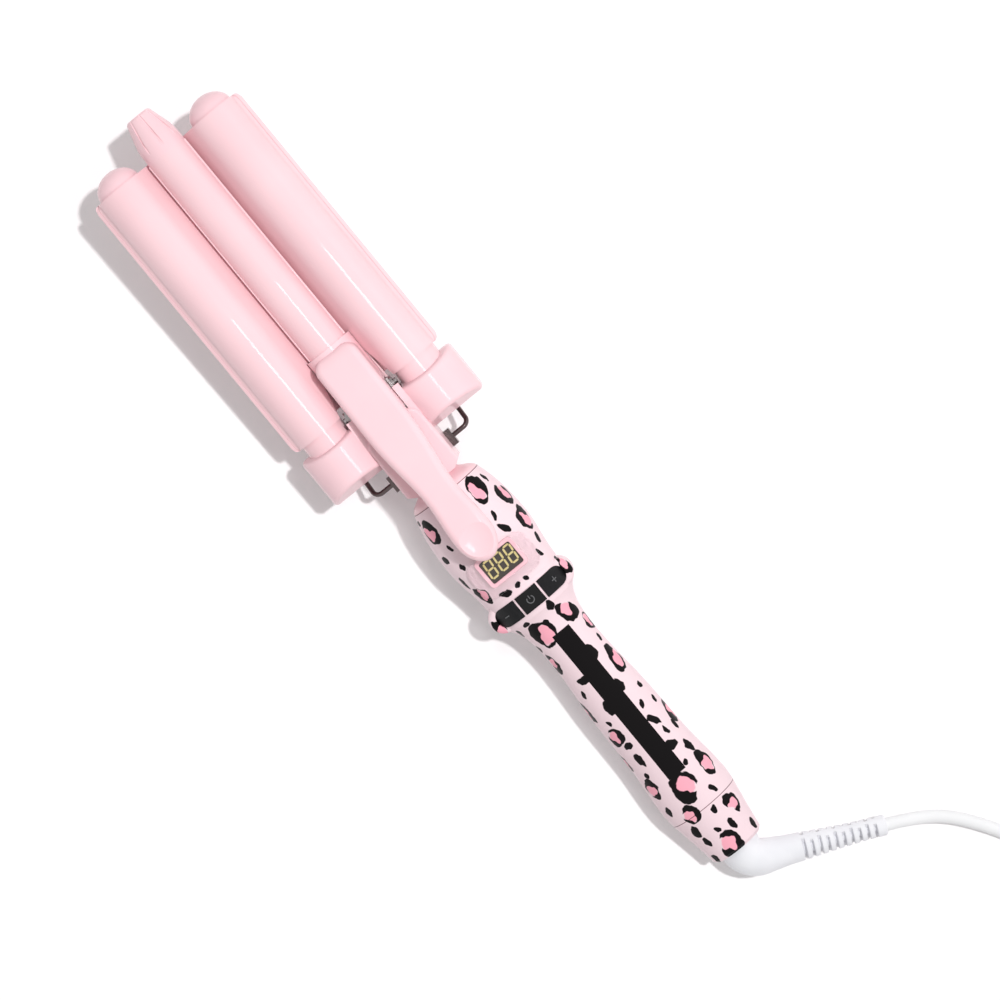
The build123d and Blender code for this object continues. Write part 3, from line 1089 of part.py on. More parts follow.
# The leads that feed the heaters, from the power board through the throat to the neck.
LEAD_R = 1.5
with BuildPart() as lead_bundle:
    with BuildLine():
        lead_line = FilletPolyline(
            (POWER_FRONT - 6, 5.2, POWER_TOP + LEAD_R), (POWER_FRONT + 4, 6.4, POWER_TOP + LEAD_R),
            (COLLAR_REAR - 8, 6.2, -1.0), (COLLAR_MIDDLE, 6.0, LEAD_HEIGHT - 0.5),
            (HANDLE_FRONT - 22, 6.4, LEAD_HEIGHT), (HANDLE_FRONT - 8, 6.3, LEAD_HEIGHT + 0.3),
            (HANDLE_FRONT + 2, 4.2, 1.6), (NECK_REAR + 2, 4.2, 1.6), (PIVOT_X + 1, 6.0, 1.6),
            radius=4.0,
        )
    with BuildSketch(Plane(origin=lead_line @ 0, z_dir=lead_line % 0)):
        Circle(LEAD_R)
    sweep()
keep(lead_bundle, "lead_bundle")

# ------------------------------------------------------------------ tail cap and swivel
TAIL_WALL = 2.2
CAP_FLOOR = 3.0
SPIGOT_LENGTH = 5.0
TAIL_INNER_FLOOR = TAIL_REAR + CAP_FLOOR
with BuildPart() as tail_cap:
    with BuildSketch(Plane.XZ):
        with BuildLine():
            Spline(*TAIL_STATIONS)
            Polyline(
                TAIL_STATIONS[-1], (TAIL_REAR, TAIL_END_R - 0.8), (TAIL_REAR, 0), (TAIL_FRONT, 0), TAIL_STATIONS[0],
            )
        make_face()
    revolve(axis=Axis.X)
    spigot_r = TAIL_R - 0.4 - SHELL_WALL - SEAT
    revolve(ring(TAIL_FRONT + SPIGOT_LENGTH, TAIL_FRONT, 0, spigot_r - 0.1), axis=Axis.X)
    revolve(ring(TAIL_FRONT + SPIGOT_LENGTH, TAIL_INNER_FLOOR, 0, TAIL_END_R - 0.8), axis=Axis.X, mode=Mode.SUBTRACT)
    revolve(ring(TAIL_INNER_FLOOR, TAIL_REAR, 0, SWIVEL_R + RUNNING), axis=Axis.X, mode=Mode.SUBTRACT)
keep(tail_cap, "tail_cap")

SPINDLE_R = 4.0
SPINDLE_LENGTH = 14.0
BOOT_FLANGE = 2.0
BOOT_FLANGE_R = SWIVEL_R + 1.2
SPINDLE_REAR = TAIL_INNER_FLOOR + RUNNING + BOOT_FLANGE
SPINDLE_FRONT = SPINDLE_REAR + SPINDLE_LENGTH
RING_STATIONS = (SPINDLE_REAR + 3.5, SPINDLE_REAR + 8.5)
RING_WIDTH = 2.6
RING_R = SPINDLE_R + 1.2
with BuildPart() as swivel_spindle:
    revolve(ring(SPINDLE_FRONT, SPINDLE_REAR, 0, SPINDLE_R), axis=Axis.X)
keep(swivel_spindle, "swivel_spindle")

with BuildPart() as slip_rings:
    for station in RING_STATIONS:
        revolve(ring(station + RING_WIDTH, station, SPINDLE_R + SEAT, RING_R), axis=Axis.X)
keep(slip_rings, "slip_rings")

BRUSH_R = RING_R + 2.4
with BuildPart() as brush_block:
    revolve(ring(SPINDLE_FRONT - 0.5, SPINDLE_REAR + 1.5, BRUSH_R, TAIL_END_R - 0.8 - SEAT), axis=Axis.X)
keep(brush_block, "brush_block")

with BuildPart() as contact_springs:
    for station in RING_STATIONS:
        with BuildSketch(Plane.XY.offset(RING_R + RUNNING)):
            with Locations((station + RING_WIDTH / 2, 0)):
                Rectangle(1.8, 3.0)
        extrude(amount=sqrt(BRUSH_R**2 - 1.5**2) - RING_R - RUNNING)
keep(contact_springs, "contact_springs")

# ------------------------------------------------------------------ swivel boot
# It leaves the tail cap on the handle's axis, turns to the right and slopes down to the floor.
ELBOW = Vector(TAIL_REAR - 7.6, 0, 0)
BOOT_TIP = Vector(TAIL_REAR - 31.7, -51.0, -3.9)
boot_run = (BOOT_TIP - ELBOW).normalized()
ELBOW_R = 13.0
with BuildPart() as cord_boot:
    revolve(ring(TAIL_INNER_FLOOR + RUNNING + BOOT_FLANGE, TAIL_INNER_FLOOR + RUNNING, 0, BOOT_FLANGE_R), axis=Axis.X)
    revolve(ring(TAIL_INNER_FLOOR + RUNNING, TAIL_REAR - 1.5, 0, SWIVEL_R), axis=Axis.X)
    with BuildLine():
        boot_line = FilletPolyline((TAIL_REAR - 1.5, 0, 0), ELBOW, ELBOW + boot_run * 20, radius=9.0)
    with BuildSketch(Plane(origin=boot_line @ 0, z_dir=boot_line % 0)):
        Circle(SWIVEL_R)
    with BuildSketch(Plane(origin=boot_line @ 1, z_dir=boot_line % 1)):
        Circle(BOOT_R)
    sweep(multisection=True)
    taper_start = boot_line @ 1
    with BuildSketch(Plane(origin=taper_start, z_dir=boot_run)):
        Circle(BOOT_R)
    with BuildSketch(Plane(origin=BOOT_TIP, z_dir=boot_run)):
        Circle(BOOT_END_R)
    loft()
keep(cord_boot, "cord_boot")

# ------------------------------------------------------------------ cord
# Route points of the cord as it lies, in the frame of the tool as it lies.
CORD_HEIGHT = CORD_R + 0.05
boot_exit = lie(BOOT_TIP.X, BOOT_TIP.Y, BOOT_TIP.Z)
exit_run = (lie(*(BOOT_TIP + boot_run)) - boot_exit).normalized()
COIL_CENTRE = Vector(-261.2, -145.5, 0)
COIL_STEP = 2 * CORD_R + 0.1
COIL_OUTER_MID = COIL_R + (COIL_COLUMNS - 1) / 2 * COIL_STEP
ROUTE = [
    boot_exit,
    boot_exit + exit_run * 12.0,
    Vector(-233.3, -72.3, 4.4),
    Vector(-244.6, -80.7, CORD_HEIGHT),
    Vector(-258.4, -88.9, CORD_HEIGHT),
    Vector(-271.8, -97.6, CORD_HEIGHT),
    Vector(-284.6, -107.0, CORD_HEIGHT),
    Vector(-294.4, -117.2, CORD_HEIGHT),
]


def corner_radii(points):
    """The arc at each corner: 0.45 of the shorter run over the tangent of half the turn."""
    radii = []
    for before, here, after in zip(points, points[1:], points[2:]):
        run_in, run_out = here - before, after - here
        turn = radians(run_in.get_angle(run_out))
        radii.append(0.45 * min(run_in.length, run_out.length) / tan(turn / 2))
    return radii


def tube(points, name):
    """Sweep the cord's section along straight runs and tangent arcs, and check its volume."""
    radii = corner_radii(points)
    print(name, "radii", [round(r, 1) for r in radii])
    with BuildPart() as cord_tube:
        with BuildLine():
            cord_line = FilletPolyline(*points, radius=radii)
        with BuildSketch(Plane(origin=cord_line @ 0, z_dir=cord_line % 0)):
            Circle(CORD_R)
        sweep()
    section = pi * CORD_R**2
    print(name, "length", round(cord_line.length, 1), "volume share",
          round(cord_tube.part.volume / (section * cord_line.length), 4))
    write(cord_tube.part, name)


tube(ROUTE, "cord")

# The put-away turns, five beside each other in two layers.
inner = 2 * COIL_R - COIL_OUTER_MID - CORD_R
outer = COIL_OUTER_MID + CORD_R
coil_low = CORD_HEIGHT - CORD_R
coil_top = coil_low + COIL_LAYERS * 2 * CORD_R
with BuildPart() as cord_coil:
    with BuildSketch(Plane.XZ.offset(-COIL_CENTRE.Y)):
        with Locations((COIL_CENTRE.X + COIL_R, (coil_low + coil_top) / 2)):
            Rectangle(outer - inner, coil_top - coil_low)
    revolve(axis=Axis((COIL_CENTRE.X, COIL_CENTRE.Y, 0), (0, 0, 1)))
write(cord_coil.part, "cord_coil")


def round_coil(angle, radius, height):
    """A point beside the coil, at an angle about its centre."""
    turn = radians(angle)
    return Vector(COIL_CENTRE.X + radius * cos(turn), COIL_CENTRE.Y + radius * sin(turn), height)


# The plug's lead runs straight off the top turn, with a slight dip, and ends in the plug.
LEAD_START = 275.0
PLUG_HEIGHT = 3 * CORD_R
plug_heading = Vector(-sin(radians(LEAD_START)), cos(radians(LEAD_START)), 0)
lead_start = round_coil(LEAD_START, COIL_OUTER_MID, 3 * CORD_R)
LEAD_ROUTE = [
    lead_start,
    lead_start + plug_heading * 12.0,
    lead_start + plug_heading * 24.0 + Vector(0, 0, -0.8),
    lead_start + plug_heading * 36.0,
]
tube(LEAD_ROUTE, "plug_lead")

PLUG_LENGTH = 30.0
PLUG_WIDTH = 24.0
RELIEF_LENGTH = 16.0
BLADE_PITCH = 12.7
BLADE_WIDTH = 6.35
BLADE_THICKNESS = 1.5
BLADE_LENGTH = 17.0
plug_end = LEAD_ROUTE[-1]
plug_axis = (LEAD_ROUTE[-1] - LEAD_ROUTE[-2]).normalized()
relief_plane = Plane(origin=plug_end, z_dir=plug_axis)
level_plane = Plane(origin=(plug_end.X, plug_end.Y, PLUG_HEIGHT), x_dir=(-plug_heading.Y, plug_heading.X, 0), z_dir=plug_heading)
with BuildPart() as mains_plug:
    with BuildSketch(relief_plane):
        Circle(CORD_R + 1.2)
    with BuildSketch(level_plane.offset(RELIEF_LENGTH)):
        Circle(CORD_R + 2.6)
    loft()
    with BuildSketch(level_plane.offset(RELIEF_LENGTH)):
        RectangleRounded(PLUG_WIDTH, 2 * PLUG_HEIGHT - 0.1, 4.0)
    extrude(amount=PLUG_LENGTH)
write(mains_plug.part, "mains_plug")

with BuildPart() as plug_blades:
    with BuildSketch(level_plane.offset(RELIEF_LENGTH + PLUG_LENGTH)):
        with Locations((BLADE_PITCH / 2, 0), (-BLADE_PITCH / 2, 0)):
            Rectangle(BLADE_THICKNESS, BLADE_WIDTH)
    extrude(amount=BLADE_LENGTH)
write(plug_blades.part, "plug_blades")

# The tie: a band round one place of the coil.
TIE_WIDTH = 9.0
TIE_THICKNESS = 1.0
TIE_ANGLE = 20.0
tie_direction = Vector(cos(radians(TIE_ANGLE)), sin(radians(TIE_ANGLE)), 0)
tie_plane = Plane(
    origin=(COIL_CENTRE.X, COIL_CENTRE.Y, 0), x_dir=tie_direction, z_dir=(tie_direction.Y, -tie_direction.X, 0)
)
with BuildPart() as cord_tie:
    with BuildSketch(tie_plane):
        with Locations(((inner + outer) / 2, (coil_top + TIE_THICKNESS) / 2)):
            Rectangle(outer - inner + 4 * TIE_THICKNESS, coil_top + TIE_THICKNESS)
    extrude(amount=TIE_WIDTH / 2, both=True)
    add(cord_coil.part, mode=Mode.SUBTRACT)
    with BuildSketch(tie_plane):
        with Locations(((inner + outer) / 2, coil_top / 2)):
            Rectangle(outer - inner + 2 * TIE_THICKNESS, coil_top)
    extrude(amount=TIE_WIDTH, both=True, mode=Mode.SUBTRACT)
write(cord_tie.part, "cord_tie")

# ------------------------------------------------------------------ what others need to know
print("stand: leg angle", round(LEG_ANGLE, 2), "length", round(LEG_LENGTH, 2), "foot", round(FOOT_X, 2), round(FOOT_Z, 2))
print("hinge", lie(0, 0, PIN_HEIGHT), "stand pivot", lie(PIVOT_X, 0, STAND_PIVOT_HEIGHT))
print("tail end on the axis", lie(TAIL_REAR, 0, 0), "boot exit", boot_exit)
plug_face = level_plane.offset(RELIEF_LENGTH + PLUG_LENGTH).origin
print(f"plug face ({plug_face.X:.3f}, {plug_face.Y:.3f}, {plug_face.Z:.3f})",
      f"heading ({plug_heading.X:.6f}, {plug_heading.Y:.6f})")
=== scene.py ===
# %% [markdown]
# # A three-barrel hair waver
#
# The tool lies on its wire stand on a white floor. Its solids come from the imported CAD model, which is
# loaded as a fixed frame. This script adds the camera, the light, the cord on its real line, the
# finishes, and the details that are too small or too soft for the CAD model.
#
# All lengths are in metres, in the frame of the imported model. Many pieces are easier to draw in the
# tool's own frame, in millimetres: x along the barrels to their tips, y to the left, z up, out of the
# thumb lever's side. `TOOL` is the matrix from one to the other.

# %% The frame
from math import asin, cos, pi, radians, sin, sqrt
from random import Random

import bmesh
import bpy
from mathutils import Matrix, Vector


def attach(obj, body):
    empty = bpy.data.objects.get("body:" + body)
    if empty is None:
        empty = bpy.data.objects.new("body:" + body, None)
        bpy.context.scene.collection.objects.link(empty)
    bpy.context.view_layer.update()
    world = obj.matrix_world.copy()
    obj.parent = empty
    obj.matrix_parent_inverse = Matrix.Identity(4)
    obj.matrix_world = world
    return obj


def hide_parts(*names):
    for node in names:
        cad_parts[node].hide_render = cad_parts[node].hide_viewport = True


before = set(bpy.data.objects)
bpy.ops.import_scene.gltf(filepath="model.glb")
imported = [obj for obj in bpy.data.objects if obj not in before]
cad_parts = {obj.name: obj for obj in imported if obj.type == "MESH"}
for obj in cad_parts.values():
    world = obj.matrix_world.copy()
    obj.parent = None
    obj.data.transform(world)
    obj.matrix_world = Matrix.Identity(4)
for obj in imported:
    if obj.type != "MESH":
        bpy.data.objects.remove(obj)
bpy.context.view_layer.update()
MM = 0.001
TILT = radians(3.8)
REST_X, REST_Z = 42.905, 29.342          # the barrels' rear end, as the tool lies
TOOL = (Matrix.Scale(MM, 4) @ Matrix.Translation((REST_X, 0, REST_Z))
        @ Matrix.Rotation(-TILT, 4, "Y"))


# %% Places, nets and finished pieces
def on_tool(x, y, z):
    """A point of the tool's own frame, in millimetres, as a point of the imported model's frame."""
    return TOOL @ Vector((x, y, z))


def wrap_faces(net, loops):
    """Join loops of the same count by quads and close both ends."""
    count = len(loops[0])
    for back, front in zip(loops, loops[1:]):
        for k in range(count):
            net.faces.new((back[k], back[(k + 1) % count], front[(k + 1) % count], front[k]))
    net.faces.new(reversed(loops[0]))
    net.faces.new(loops[-1])
    bmesh.ops.recalc_face_normals(net, faces=net.faces)


def mesh_from(net, name):
    """Keep a net of faces as a mesh, and let the net go."""
    mesh = bpy.data.meshes.new(name)
    net.to_mesh(mesh)
    net.free()
    return mesh


def finish_piece(name, mesh, material, body, smooth=35.0):
    """Make a mesh a named piece that rides on a body and takes a finish."""
    piece = bpy.data.objects.new(name, mesh)
    bpy.context.scene.collection.objects.link(piece)
    if not mesh.materials:
        mesh.materials.append(material)
    if smooth:
        mesh.shade_smooth()
        mesh.set_sharp_from_angle(angle=radians(smooth))
    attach(piece, body)
    print(name, "triangles:", sum(len(p.vertices) - 2 for p in mesh.polygons))
    return piece


# %% [markdown]
# ## Camera
#
# The tool is seen from above, laid across the picture from the upper left to the lower right. A long
# lens from two metres away keeps the barrels parallel. The camera leans a few degrees to the tool's
# right, so its right flanks show. It could be placed by its Euler angles, but three plain directions,
# for the view, the picture's right and the picture's up, say better what is meant.

# %% The camera
VIEW_CENTRE = Vector((-0.0206, -0.0145, 0.027))
VIEW_DISTANCE = 2.0
VIEW_WIDTH = 0.400                       # what the picture spans at the tool
VIEW_LEAN = radians(4.5)
PICTURE_RIGHT = Vector((-0.630835, -0.775937, 0))

away = Vector((0, -sin(VIEW_LEAN), cos(VIEW_LEAN)))
right = (PICTURE_RIGHT - away * PICTURE_RIGHT.dot(away)).normalized()
up = away.cross(right)
camera_data = bpy.data.cameras.new("camera")
camera_data.sensor_width = 36.0
camera_data.lens = 36.0 * VIEW_DISTANCE / VIEW_WIDTH
camera_data.clip_end = 20.0
camera = bpy.data.objects.new("camera", camera_data)
camera.matrix_world = (Matrix.Translation(VIEW_CENTRE + away * VIEW_DISTANCE)
                       @ Matrix((right, up, away)).transposed().to_4x4())
bpy.context.scene.collection.objects.link(camera)
bpy.context.scene.camera = camera
print("camera at", [round(v, 3) for v in camera.matrix_world.translation], "lens", round(camera_data.lens, 1))


# %% [markdown]
# ## Helpers for node materials
#
# A finish is a small tree of shader nodes. Built by hand each tree takes many lines that say little,
# so a few helpers make the nodes that come back in every finish: a fresh Principled shader, a noise on
# Object coordinates, a bump, and plain arithmetic.

# %% Shader helpers
class Finish:
    """A node material under construction, with its Principled shader and short ways to add nodes."""

    def __init__(self, name, colour, roughness=0.5, metallic=0.0):
        self.material = bpy.data.materials.new(name)
        self.material.use_nodes = True
        self.material.diffuse_color = (*colour, 1.0)
        self.tree = self.material.node_tree
        self.shader = self.tree.nodes["Principled BSDF"]
        self.set(base_color=(*colour, 1.0), roughness=roughness, metallic=metallic)
        self.coordinates = self.node("TexCoord").outputs["Object"]

    def link(self, source, target):
        self.tree.links.new(source, target)

    def node(self, kind, **inputs):
        """A new shader node. An input takes a value or an output socket: from_min=0.2 sets From Min."""
        made = self.tree.nodes.new("ShaderNode" + kind)
        for name, value in inputs.items():
            socket = made.inputs[name.replace("_", " ").title()]
            if isinstance(value, bpy.types.NodeSocket):
                self.link(value, socket)
            else:
                socket.default_value = value
        return made

    def math(self, operation, *values, clamp=False):
        """One Math node. A value is a number or an output socket."""
        node = self.node("Math")
        node.operation = operation
        node.use_clamp = clamp
        for socket, value in zip(node.inputs, values):
            if isinstance(value, (int, float)):
                socket.default_value = value
            else:
                self.link(value, socket)
        return node.outputs[0]

    def noise(self, scale, detail, vector=None):
        """A noise texture, on Object coordinates unless it is given another vector."""
        return self.node("TexNoise", scale=scale, detail=detail, vector=vector or self.coordinates)

    def mapped(self, turn=(0, 0, 0), scale=(1, 1, 1), move=(0, 0, 0)):
        """Object coordinates, moved, turned and scaled."""
        node = self.node("Mapping", rotation=turn, scale=scale, location=move, vector=self.coordinates)
        return node.outputs["Vector"]

    def spread(self, value, low, high, to_low=0.0, to_high=1.0):
        """Map a value from one range to another, held at the ends."""
        node = self.node("MapRange", from_min=low, from_max=high, to_min=to_low, to_max=to_high, value=value)
        return node.outputs["Result"]

    def mix(self, factor, first, second):
        """Mix two colours, each a tuple or an output socket."""
        node = self.node("Mix")
        node.data_type = "RGBA"
        self.link(factor, node.inputs["Factor"])
        for socket, value in ((node.inputs["A"], first), (node.inputs["B"], second)):
            if isinstance(value, tuple):
                socket.default_value = (*value, 1.0)
            else:
                self.link(value, socket)
        return node.outputs["Result"]

    def colour(self, socket):
        self.link(socket, self.shader.inputs["Base Color"])

    def roughness(self, socket):
        self.link(socket, self.shader.inputs["Roughness"])

    def bump(self, height, strength, distance):
        node = self.node("Bump", strength=strength, distance=distance, height=height)
        self.link(node.outputs["Normal"], self.shader.inputs["Normal"])

    def grain(self, scale, strength, distance, detail=2):
        """A fine bump from a noise."""
        self.bump(self.noise(scale, detail=detail).outputs["Fac"], strength, distance)

    def uneven_gloss(self, scale, low, high, detail=2):
        """Let the roughness drift between two values."""
        drift = self.noise(scale, detail=detail).outputs["Fac"]
        self.roughness(self.spread(drift, 0.3, 0.7, low, high))

    def set(self, **values):
        """Set uniform numbers straight on the shader's sockets: coat_weight=0.3 sets Coat Weight."""
        for name, value in values.items():
            words = name.replace("_", " ").title().replace("Ior", "IOR")
            self.shader.inputs[words].default_value = value


def cloudy(finish, colour, darker, scale):
    """Let a colour drift slightly to a second one, as pigment does in moulded plastic and lacquer."""
    drift = finish.noise(scale, detail=3.0)
    finish.colour(finish.mix(finish.spread(drift.outputs["Fac"], 0.35, 0.65), darker, colour))


def dress(finish, *nodes):
    """Give CAD nodes a finish, by their material slots."""
    for name in nodes:
        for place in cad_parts[name].material_slots:
            place.material = finish.material


print("finish helpers ready")

# %% [markdown]
# ## The cord
#
# A mains cord of round section, 5.4 mm thick and about 2 m long. It leaves the boot in a shallow arch,
# lies down on the floor and runs out of the picture. The length that the picture doesn't show is wound
# in a flat coil of two layers, held by a tie, and ends in the plug.
#
# A cord can be a swept mesh, a simulated chain, or a curve with a round bevel. The curve is right here:
# one open NURBS spline has no kinks, keeps its length, and its control points are the same few points
# that the CAD solids follow. The coil's turns are more points of the same spline. A NURBS circle runs
# inside its control points, so they stand a little outside the turn.

# %% The cord's line
CORD_R = 2.7
CORD_HEIGHT = CORD_R + 0.05
BOOT_EXIT = Vector((-220.355, -51.0, 7.948))
BOOT_RUN = Vector((-0.4208, -0.9020, -0.0971))
COIL_CENTRE = Vector((-261.2, -145.5, 0))
COIL_STEP = 2 * CORD_R + 0.1
COIL_R = 32.6
COIL_COLUMNS = 5
COIL_ENTRY = 139.6                       # degrees, where the cord joins its outer turn
POINTS_PER_TURN = 16
LEAD_START = 275.0                       # degrees, where the lead to the plug leaves the coil
LEAD_LENGTH, LEAD_DIP = 36.0, 0.8
UPPER_HEIGHT = 3 * CORD_R                # the upper layer's last turn and the lead
STEP_ANGLE = 360.0 / POINTS_PER_TURN

route = [
    BOOT_EXIT,
    BOOT_EXIT + BOOT_RUN * 12.0,
    Vector((-233.3, -72.3, 4.4)),
    Vector((-244.6, -80.7, CORD_HEIGHT)),
    Vector((-258.4, -88.9, CORD_HEIGHT)),
    Vector((-271.8, -97.6, CORD_HEIGHT)),
    Vector((-284.6, -107.0, CORD_HEIGHT)),
]


def beside_coil(angle, radius, height):
    """A point at an angle, in degrees, about the coil's centre."""
    turn = radians(angle)
    return Vector((COIL_CENTRE.x + radius * cos(turn), COIL_CENTRE.y + radius * sin(turn), height))


# The turns: inwards in the lower layer, up, and outwards again in the upper one. Each turn gives way
# to the next just before it meets its own beginning.
columns = [COIL_R + (COIL_COLUMNS - 1) / 2 * COIL_STEP - n * COIL_STEP for n in range(COIL_COLUMNS)]
turns = [(r, CORD_HEIGHT) for r in columns] + [(r, CORD_HEIGHT + 2 * CORD_R) for r in reversed(columns)]
OUTSIDE = 1 / cos(radians(STEP_ANGLE / 2))
angle = COIL_ENTRY
for radius, height in turns:
    for _ in range(POINTS_PER_TURN - 1):
        route.append(beside_coil(angle, radius * OUTSIDE, height))
        angle += STEP_ANGLE
outer_mid = columns[0]
while angle % 360 > LEAD_START or angle % 360 < LEAD_START - STEP_ANGLE:
    route.append(beside_coil(angle, outer_mid * OUTSIDE, UPPER_HEIGHT))
    angle += STEP_ANGLE
lead_start = beside_coil(LEAD_START, outer_mid, UPPER_HEIGHT)
plug_heading = Vector((-sin(radians(LEAD_START)), cos(radians(LEAD_START)), 0))
lead_sag = Vector((0, 0, -LEAD_DIP))
route += [lead_start, lead_start + plug_heading * (LEAD_LENGTH / 3),
          lead_start + plug_heading * (LEAD_LENGTH * 2 / 3) + lead_sag,
          lead_start + plug_heading * LEAD_LENGTH]
print("control points of the cord:", len(route), "turns:", len(turns))


# %% One spline through those points
def soft_line(name, points, radius):
    """A curve object of one open NURBS spline, in metres, with a round bevel of a radius."""
    curve = bpy.data.curves.new(name, "CURVE")
    curve.dimensions = "3D"
    spline = curve.splines.new("NURBS")
    spline.points.add(len(points) - 1)
    for control, point in zip(spline.points, points):
        control.co = (*(point * MM), 1.0)
    spline.order_u = 3
    spline.use_endpoint_u = True
    curve.resolution_u = 6
    curve.bevel_depth = radius * MM
    curve.bevel_resolution = 6
    curve.use_fill_caps = True
    line = bpy.data.objects.new(name, curve)
    bpy.context.scene.collection.objects.link(line)
    return line


def read_line(line):
    """The points that a curve without a bevel really passes, and its length."""
    bare = line.data.copy()
    bare.bevel_depth = 0.0
    probe = bpy.data.objects.new("probe", bare)
    bpy.context.scene.collection.objects.link(probe)
    bpy.context.view_layer.update()
    traced = bpy.data.meshes.new_from_object(probe.evaluated_get(bpy.context.evaluated_depsgraph_get()))
    points = [v.co.copy() for v in traced.vertices]
    bpy.data.objects.remove(probe)
    bpy.data.meshes.remove(traced)
    return points, sum((b - a).length for a, b in zip(points, points[1:]))


cord = soft_line("mains_cord", route, CORD_R)
cord_points, cord_length = read_line(cord)
print("cord length", round(cord_length, 3), "m; lowest", round(min(p.z for p in cord_points), 5))

# %% [markdown]
# ## The swivel boot
#
# A moulded rubber elbow. It comes out of the tail cap on the handle's axis, bends to the side, and
# tapers to the cord. Its last third is a strain relief: narrow slits on both sides, joined by two
# bridges, let it bend without a kink. Cutting the slits with booleans would give rough edges, so the
# boot is drawn as one net of rings along its middle line, and the net is pushed in where a slit is.

# %% The boot's middle line and its slits
TAIL_REAR = -232.4
BOOT_START = Vector((TAIL_REAR + 0.5, 0, 0))
ELBOW = Vector((TAIL_REAR - 7.6, 0, 0))
BOOT_TIP = Vector((TAIL_REAR - 31.7, -51.0, -3.9))
ELBOW_R = 9.0
SLEEVE_R, BOOT_R, BOOT_END_R = 8.75, 6.2, 4.25
SLIT_COUNT = 10
SLIT_PITCH = 3.3
SLIT_WIDTH = 1.1
SLIT_DEPTH = 2.4
SLIT_EDGE = 0.15                         # half the width of a slit's soft edge
SLIT_END = 4.6                           # from the last slit to the boot's end
BRIDGE_SIDES = (40, 220)                 # degrees round the boot
NARROW_BRIDGE, WIDE_BRIDGE, BRIDGE_EDGE = 14, 26, 4              # half-widths, in degrees
TAPER_LENGTH = 12                        # past the bend, to the boot's slim part
LAST_TAPER_START, LAST_TAPER_END = 4, 6  # past the bend, and before the boot's end
ROUNDING, ROUNDING_LENGTH = 0.6, 0.7     # at the boot's end
boot_run = (BOOT_TIP - ELBOW).normalized()
boot_turn = Vector((-1, 0, 0)).angle(boot_run)
elbow_reach = ELBOW_R * sin(boot_turn / 2) / cos(boot_turn / 2)
first_run = (ELBOW - BOOT_START).length - elbow_reach
last_run = (BOOT_TIP - ELBOW).length - elbow_reach
arc_length = ELBOW_R * boot_turn
boot_length = first_run + arc_length + last_run


def boot_line(s):
    """The point and heading of the boot's middle line, s millimetres from its start."""
    ahead = Vector((-1, 0, 0))
    if s < first_run:
        return BOOT_START + ahead * s, ahead
    side = (boot_run - ahead * boot_run.dot(ahead)).normalized()
    bend_start = BOOT_START + ahead * first_run
    turned = min((s - first_run) / ELBOW_R, boot_turn)
    place = bend_start + ahead * ELBOW_R * sin(turned) + side * ELBOW_R * (1 - cos(turned))
    heading = ahead * cos(turned) + side * sin(turned)
    return place + heading * max(0.0, s - first_run - arc_length), heading


def smoothstep(low, high, value):
    """0 below one value, 1 above another, and a smooth rise between them."""
    share = min(1.0, max(0.0, (value - low) / (high - low)))
    return share * share * (3 - 2 * share)


def boot_radius(s, turn):
    """The boot's radius at s, at an angle about its line, with the slits pushed in."""
    bend_end = first_run + arc_length
    radius = SLEEVE_R + (BOOT_R - SLEEVE_R) * smoothstep(0, bend_end + TAPER_LENGTH, s)
    last_taper = smoothstep(bend_end + LAST_TAPER_START, boot_length - LAST_TAPER_END, s)
    radius += (BOOT_END_R - BOOT_R) * last_taper
    from_last = (boot_length - SLIT_END - s) / SLIT_PITCH
    number = round(from_last)
    if 0 <= number < SLIT_COUNT:
        off = abs(from_last - number) * SLIT_PITCH
        half_bridge = NARROW_BRIDGE if number % 2 else WIDE_BRIDGE
        to_bridge = min(abs((turn - side + 180) % 360 - 180) for side in BRIDGE_SIDES)
        cut = 1 - smoothstep(SLIT_WIDTH / 2 - SLIT_EDGE, SLIT_WIDTH / 2 + SLIT_EDGE, off)
        cut *= smoothstep(half_bridge - BRIDGE_EDGE, half_bridge + BRIDGE_EDGE, to_bridge)
        radius -= SLIT_DEPTH * cut
    return radius - ROUNDING * smoothstep(boot_length - ROUNDING_LENGTH, boot_length, s)


# %% The boot's net
BOOT_SIDES = 72
FINE_STEP, COARSE_STEP = 0.22, 1.0       # between rings, among the slits and before them
net = bmesh.new()
stations = []
s = 0.0
while s < boot_length:
    stations.append(s)
    s += FINE_STEP if s > boot_length - SLIT_END - SLIT_COUNT * SLIT_PITCH else COARSE_STEP
stations.append(boot_length)
rings = []
for s in stations:
    place, heading = boot_line(s)
    level = Vector((0, 0, 1)).cross(heading).normalized()
    above = heading.cross(level)
    ring = []
    for k in range(BOOT_SIDES):
        turn = 360 * k / BOOT_SIDES
        reach = boot_radius(s, turn)
        ring.append(net.verts.new(place + (level * cos(radians(turn)) + above * sin(radians(turn))) * reach))
    rings.append(ring)
wrap_faces(net, rings)
net.transform(TOOL)
boot_mesh = mesh_from(net, "ribbed_boot")
print("boot length", round(boot_length, 1), "mm, slits", SLIT_COUNT)

# %% [markdown]
# ## White rubber and plastic
#
# The boot, the cord and the plug are nearly white with a cool cast. The cord's jacket is matt with a
# fine drawn grain, the boot is satin. Both get a little cloudiness and a fine bump.

# %% The cord's finishes
rubber = Finish("white_rubber", (0.80, 0.80, 0.83), roughness=0.42)
cloudy(rubber, (0.82, 0.82, 0.85), (0.78, 0.78, 0.815), scale=90)
rubber.grain(2600, 0.12, 0.00005)

jacket = Finish("white_cord_jacket", (0.84, 0.84, 0.85), roughness=0.46)
cloudy(jacket, (0.86, 0.86, 0.87), (0.82, 0.82, 0.83), scale=50)
jacket.grain(3000, 0.15, 0.00006)

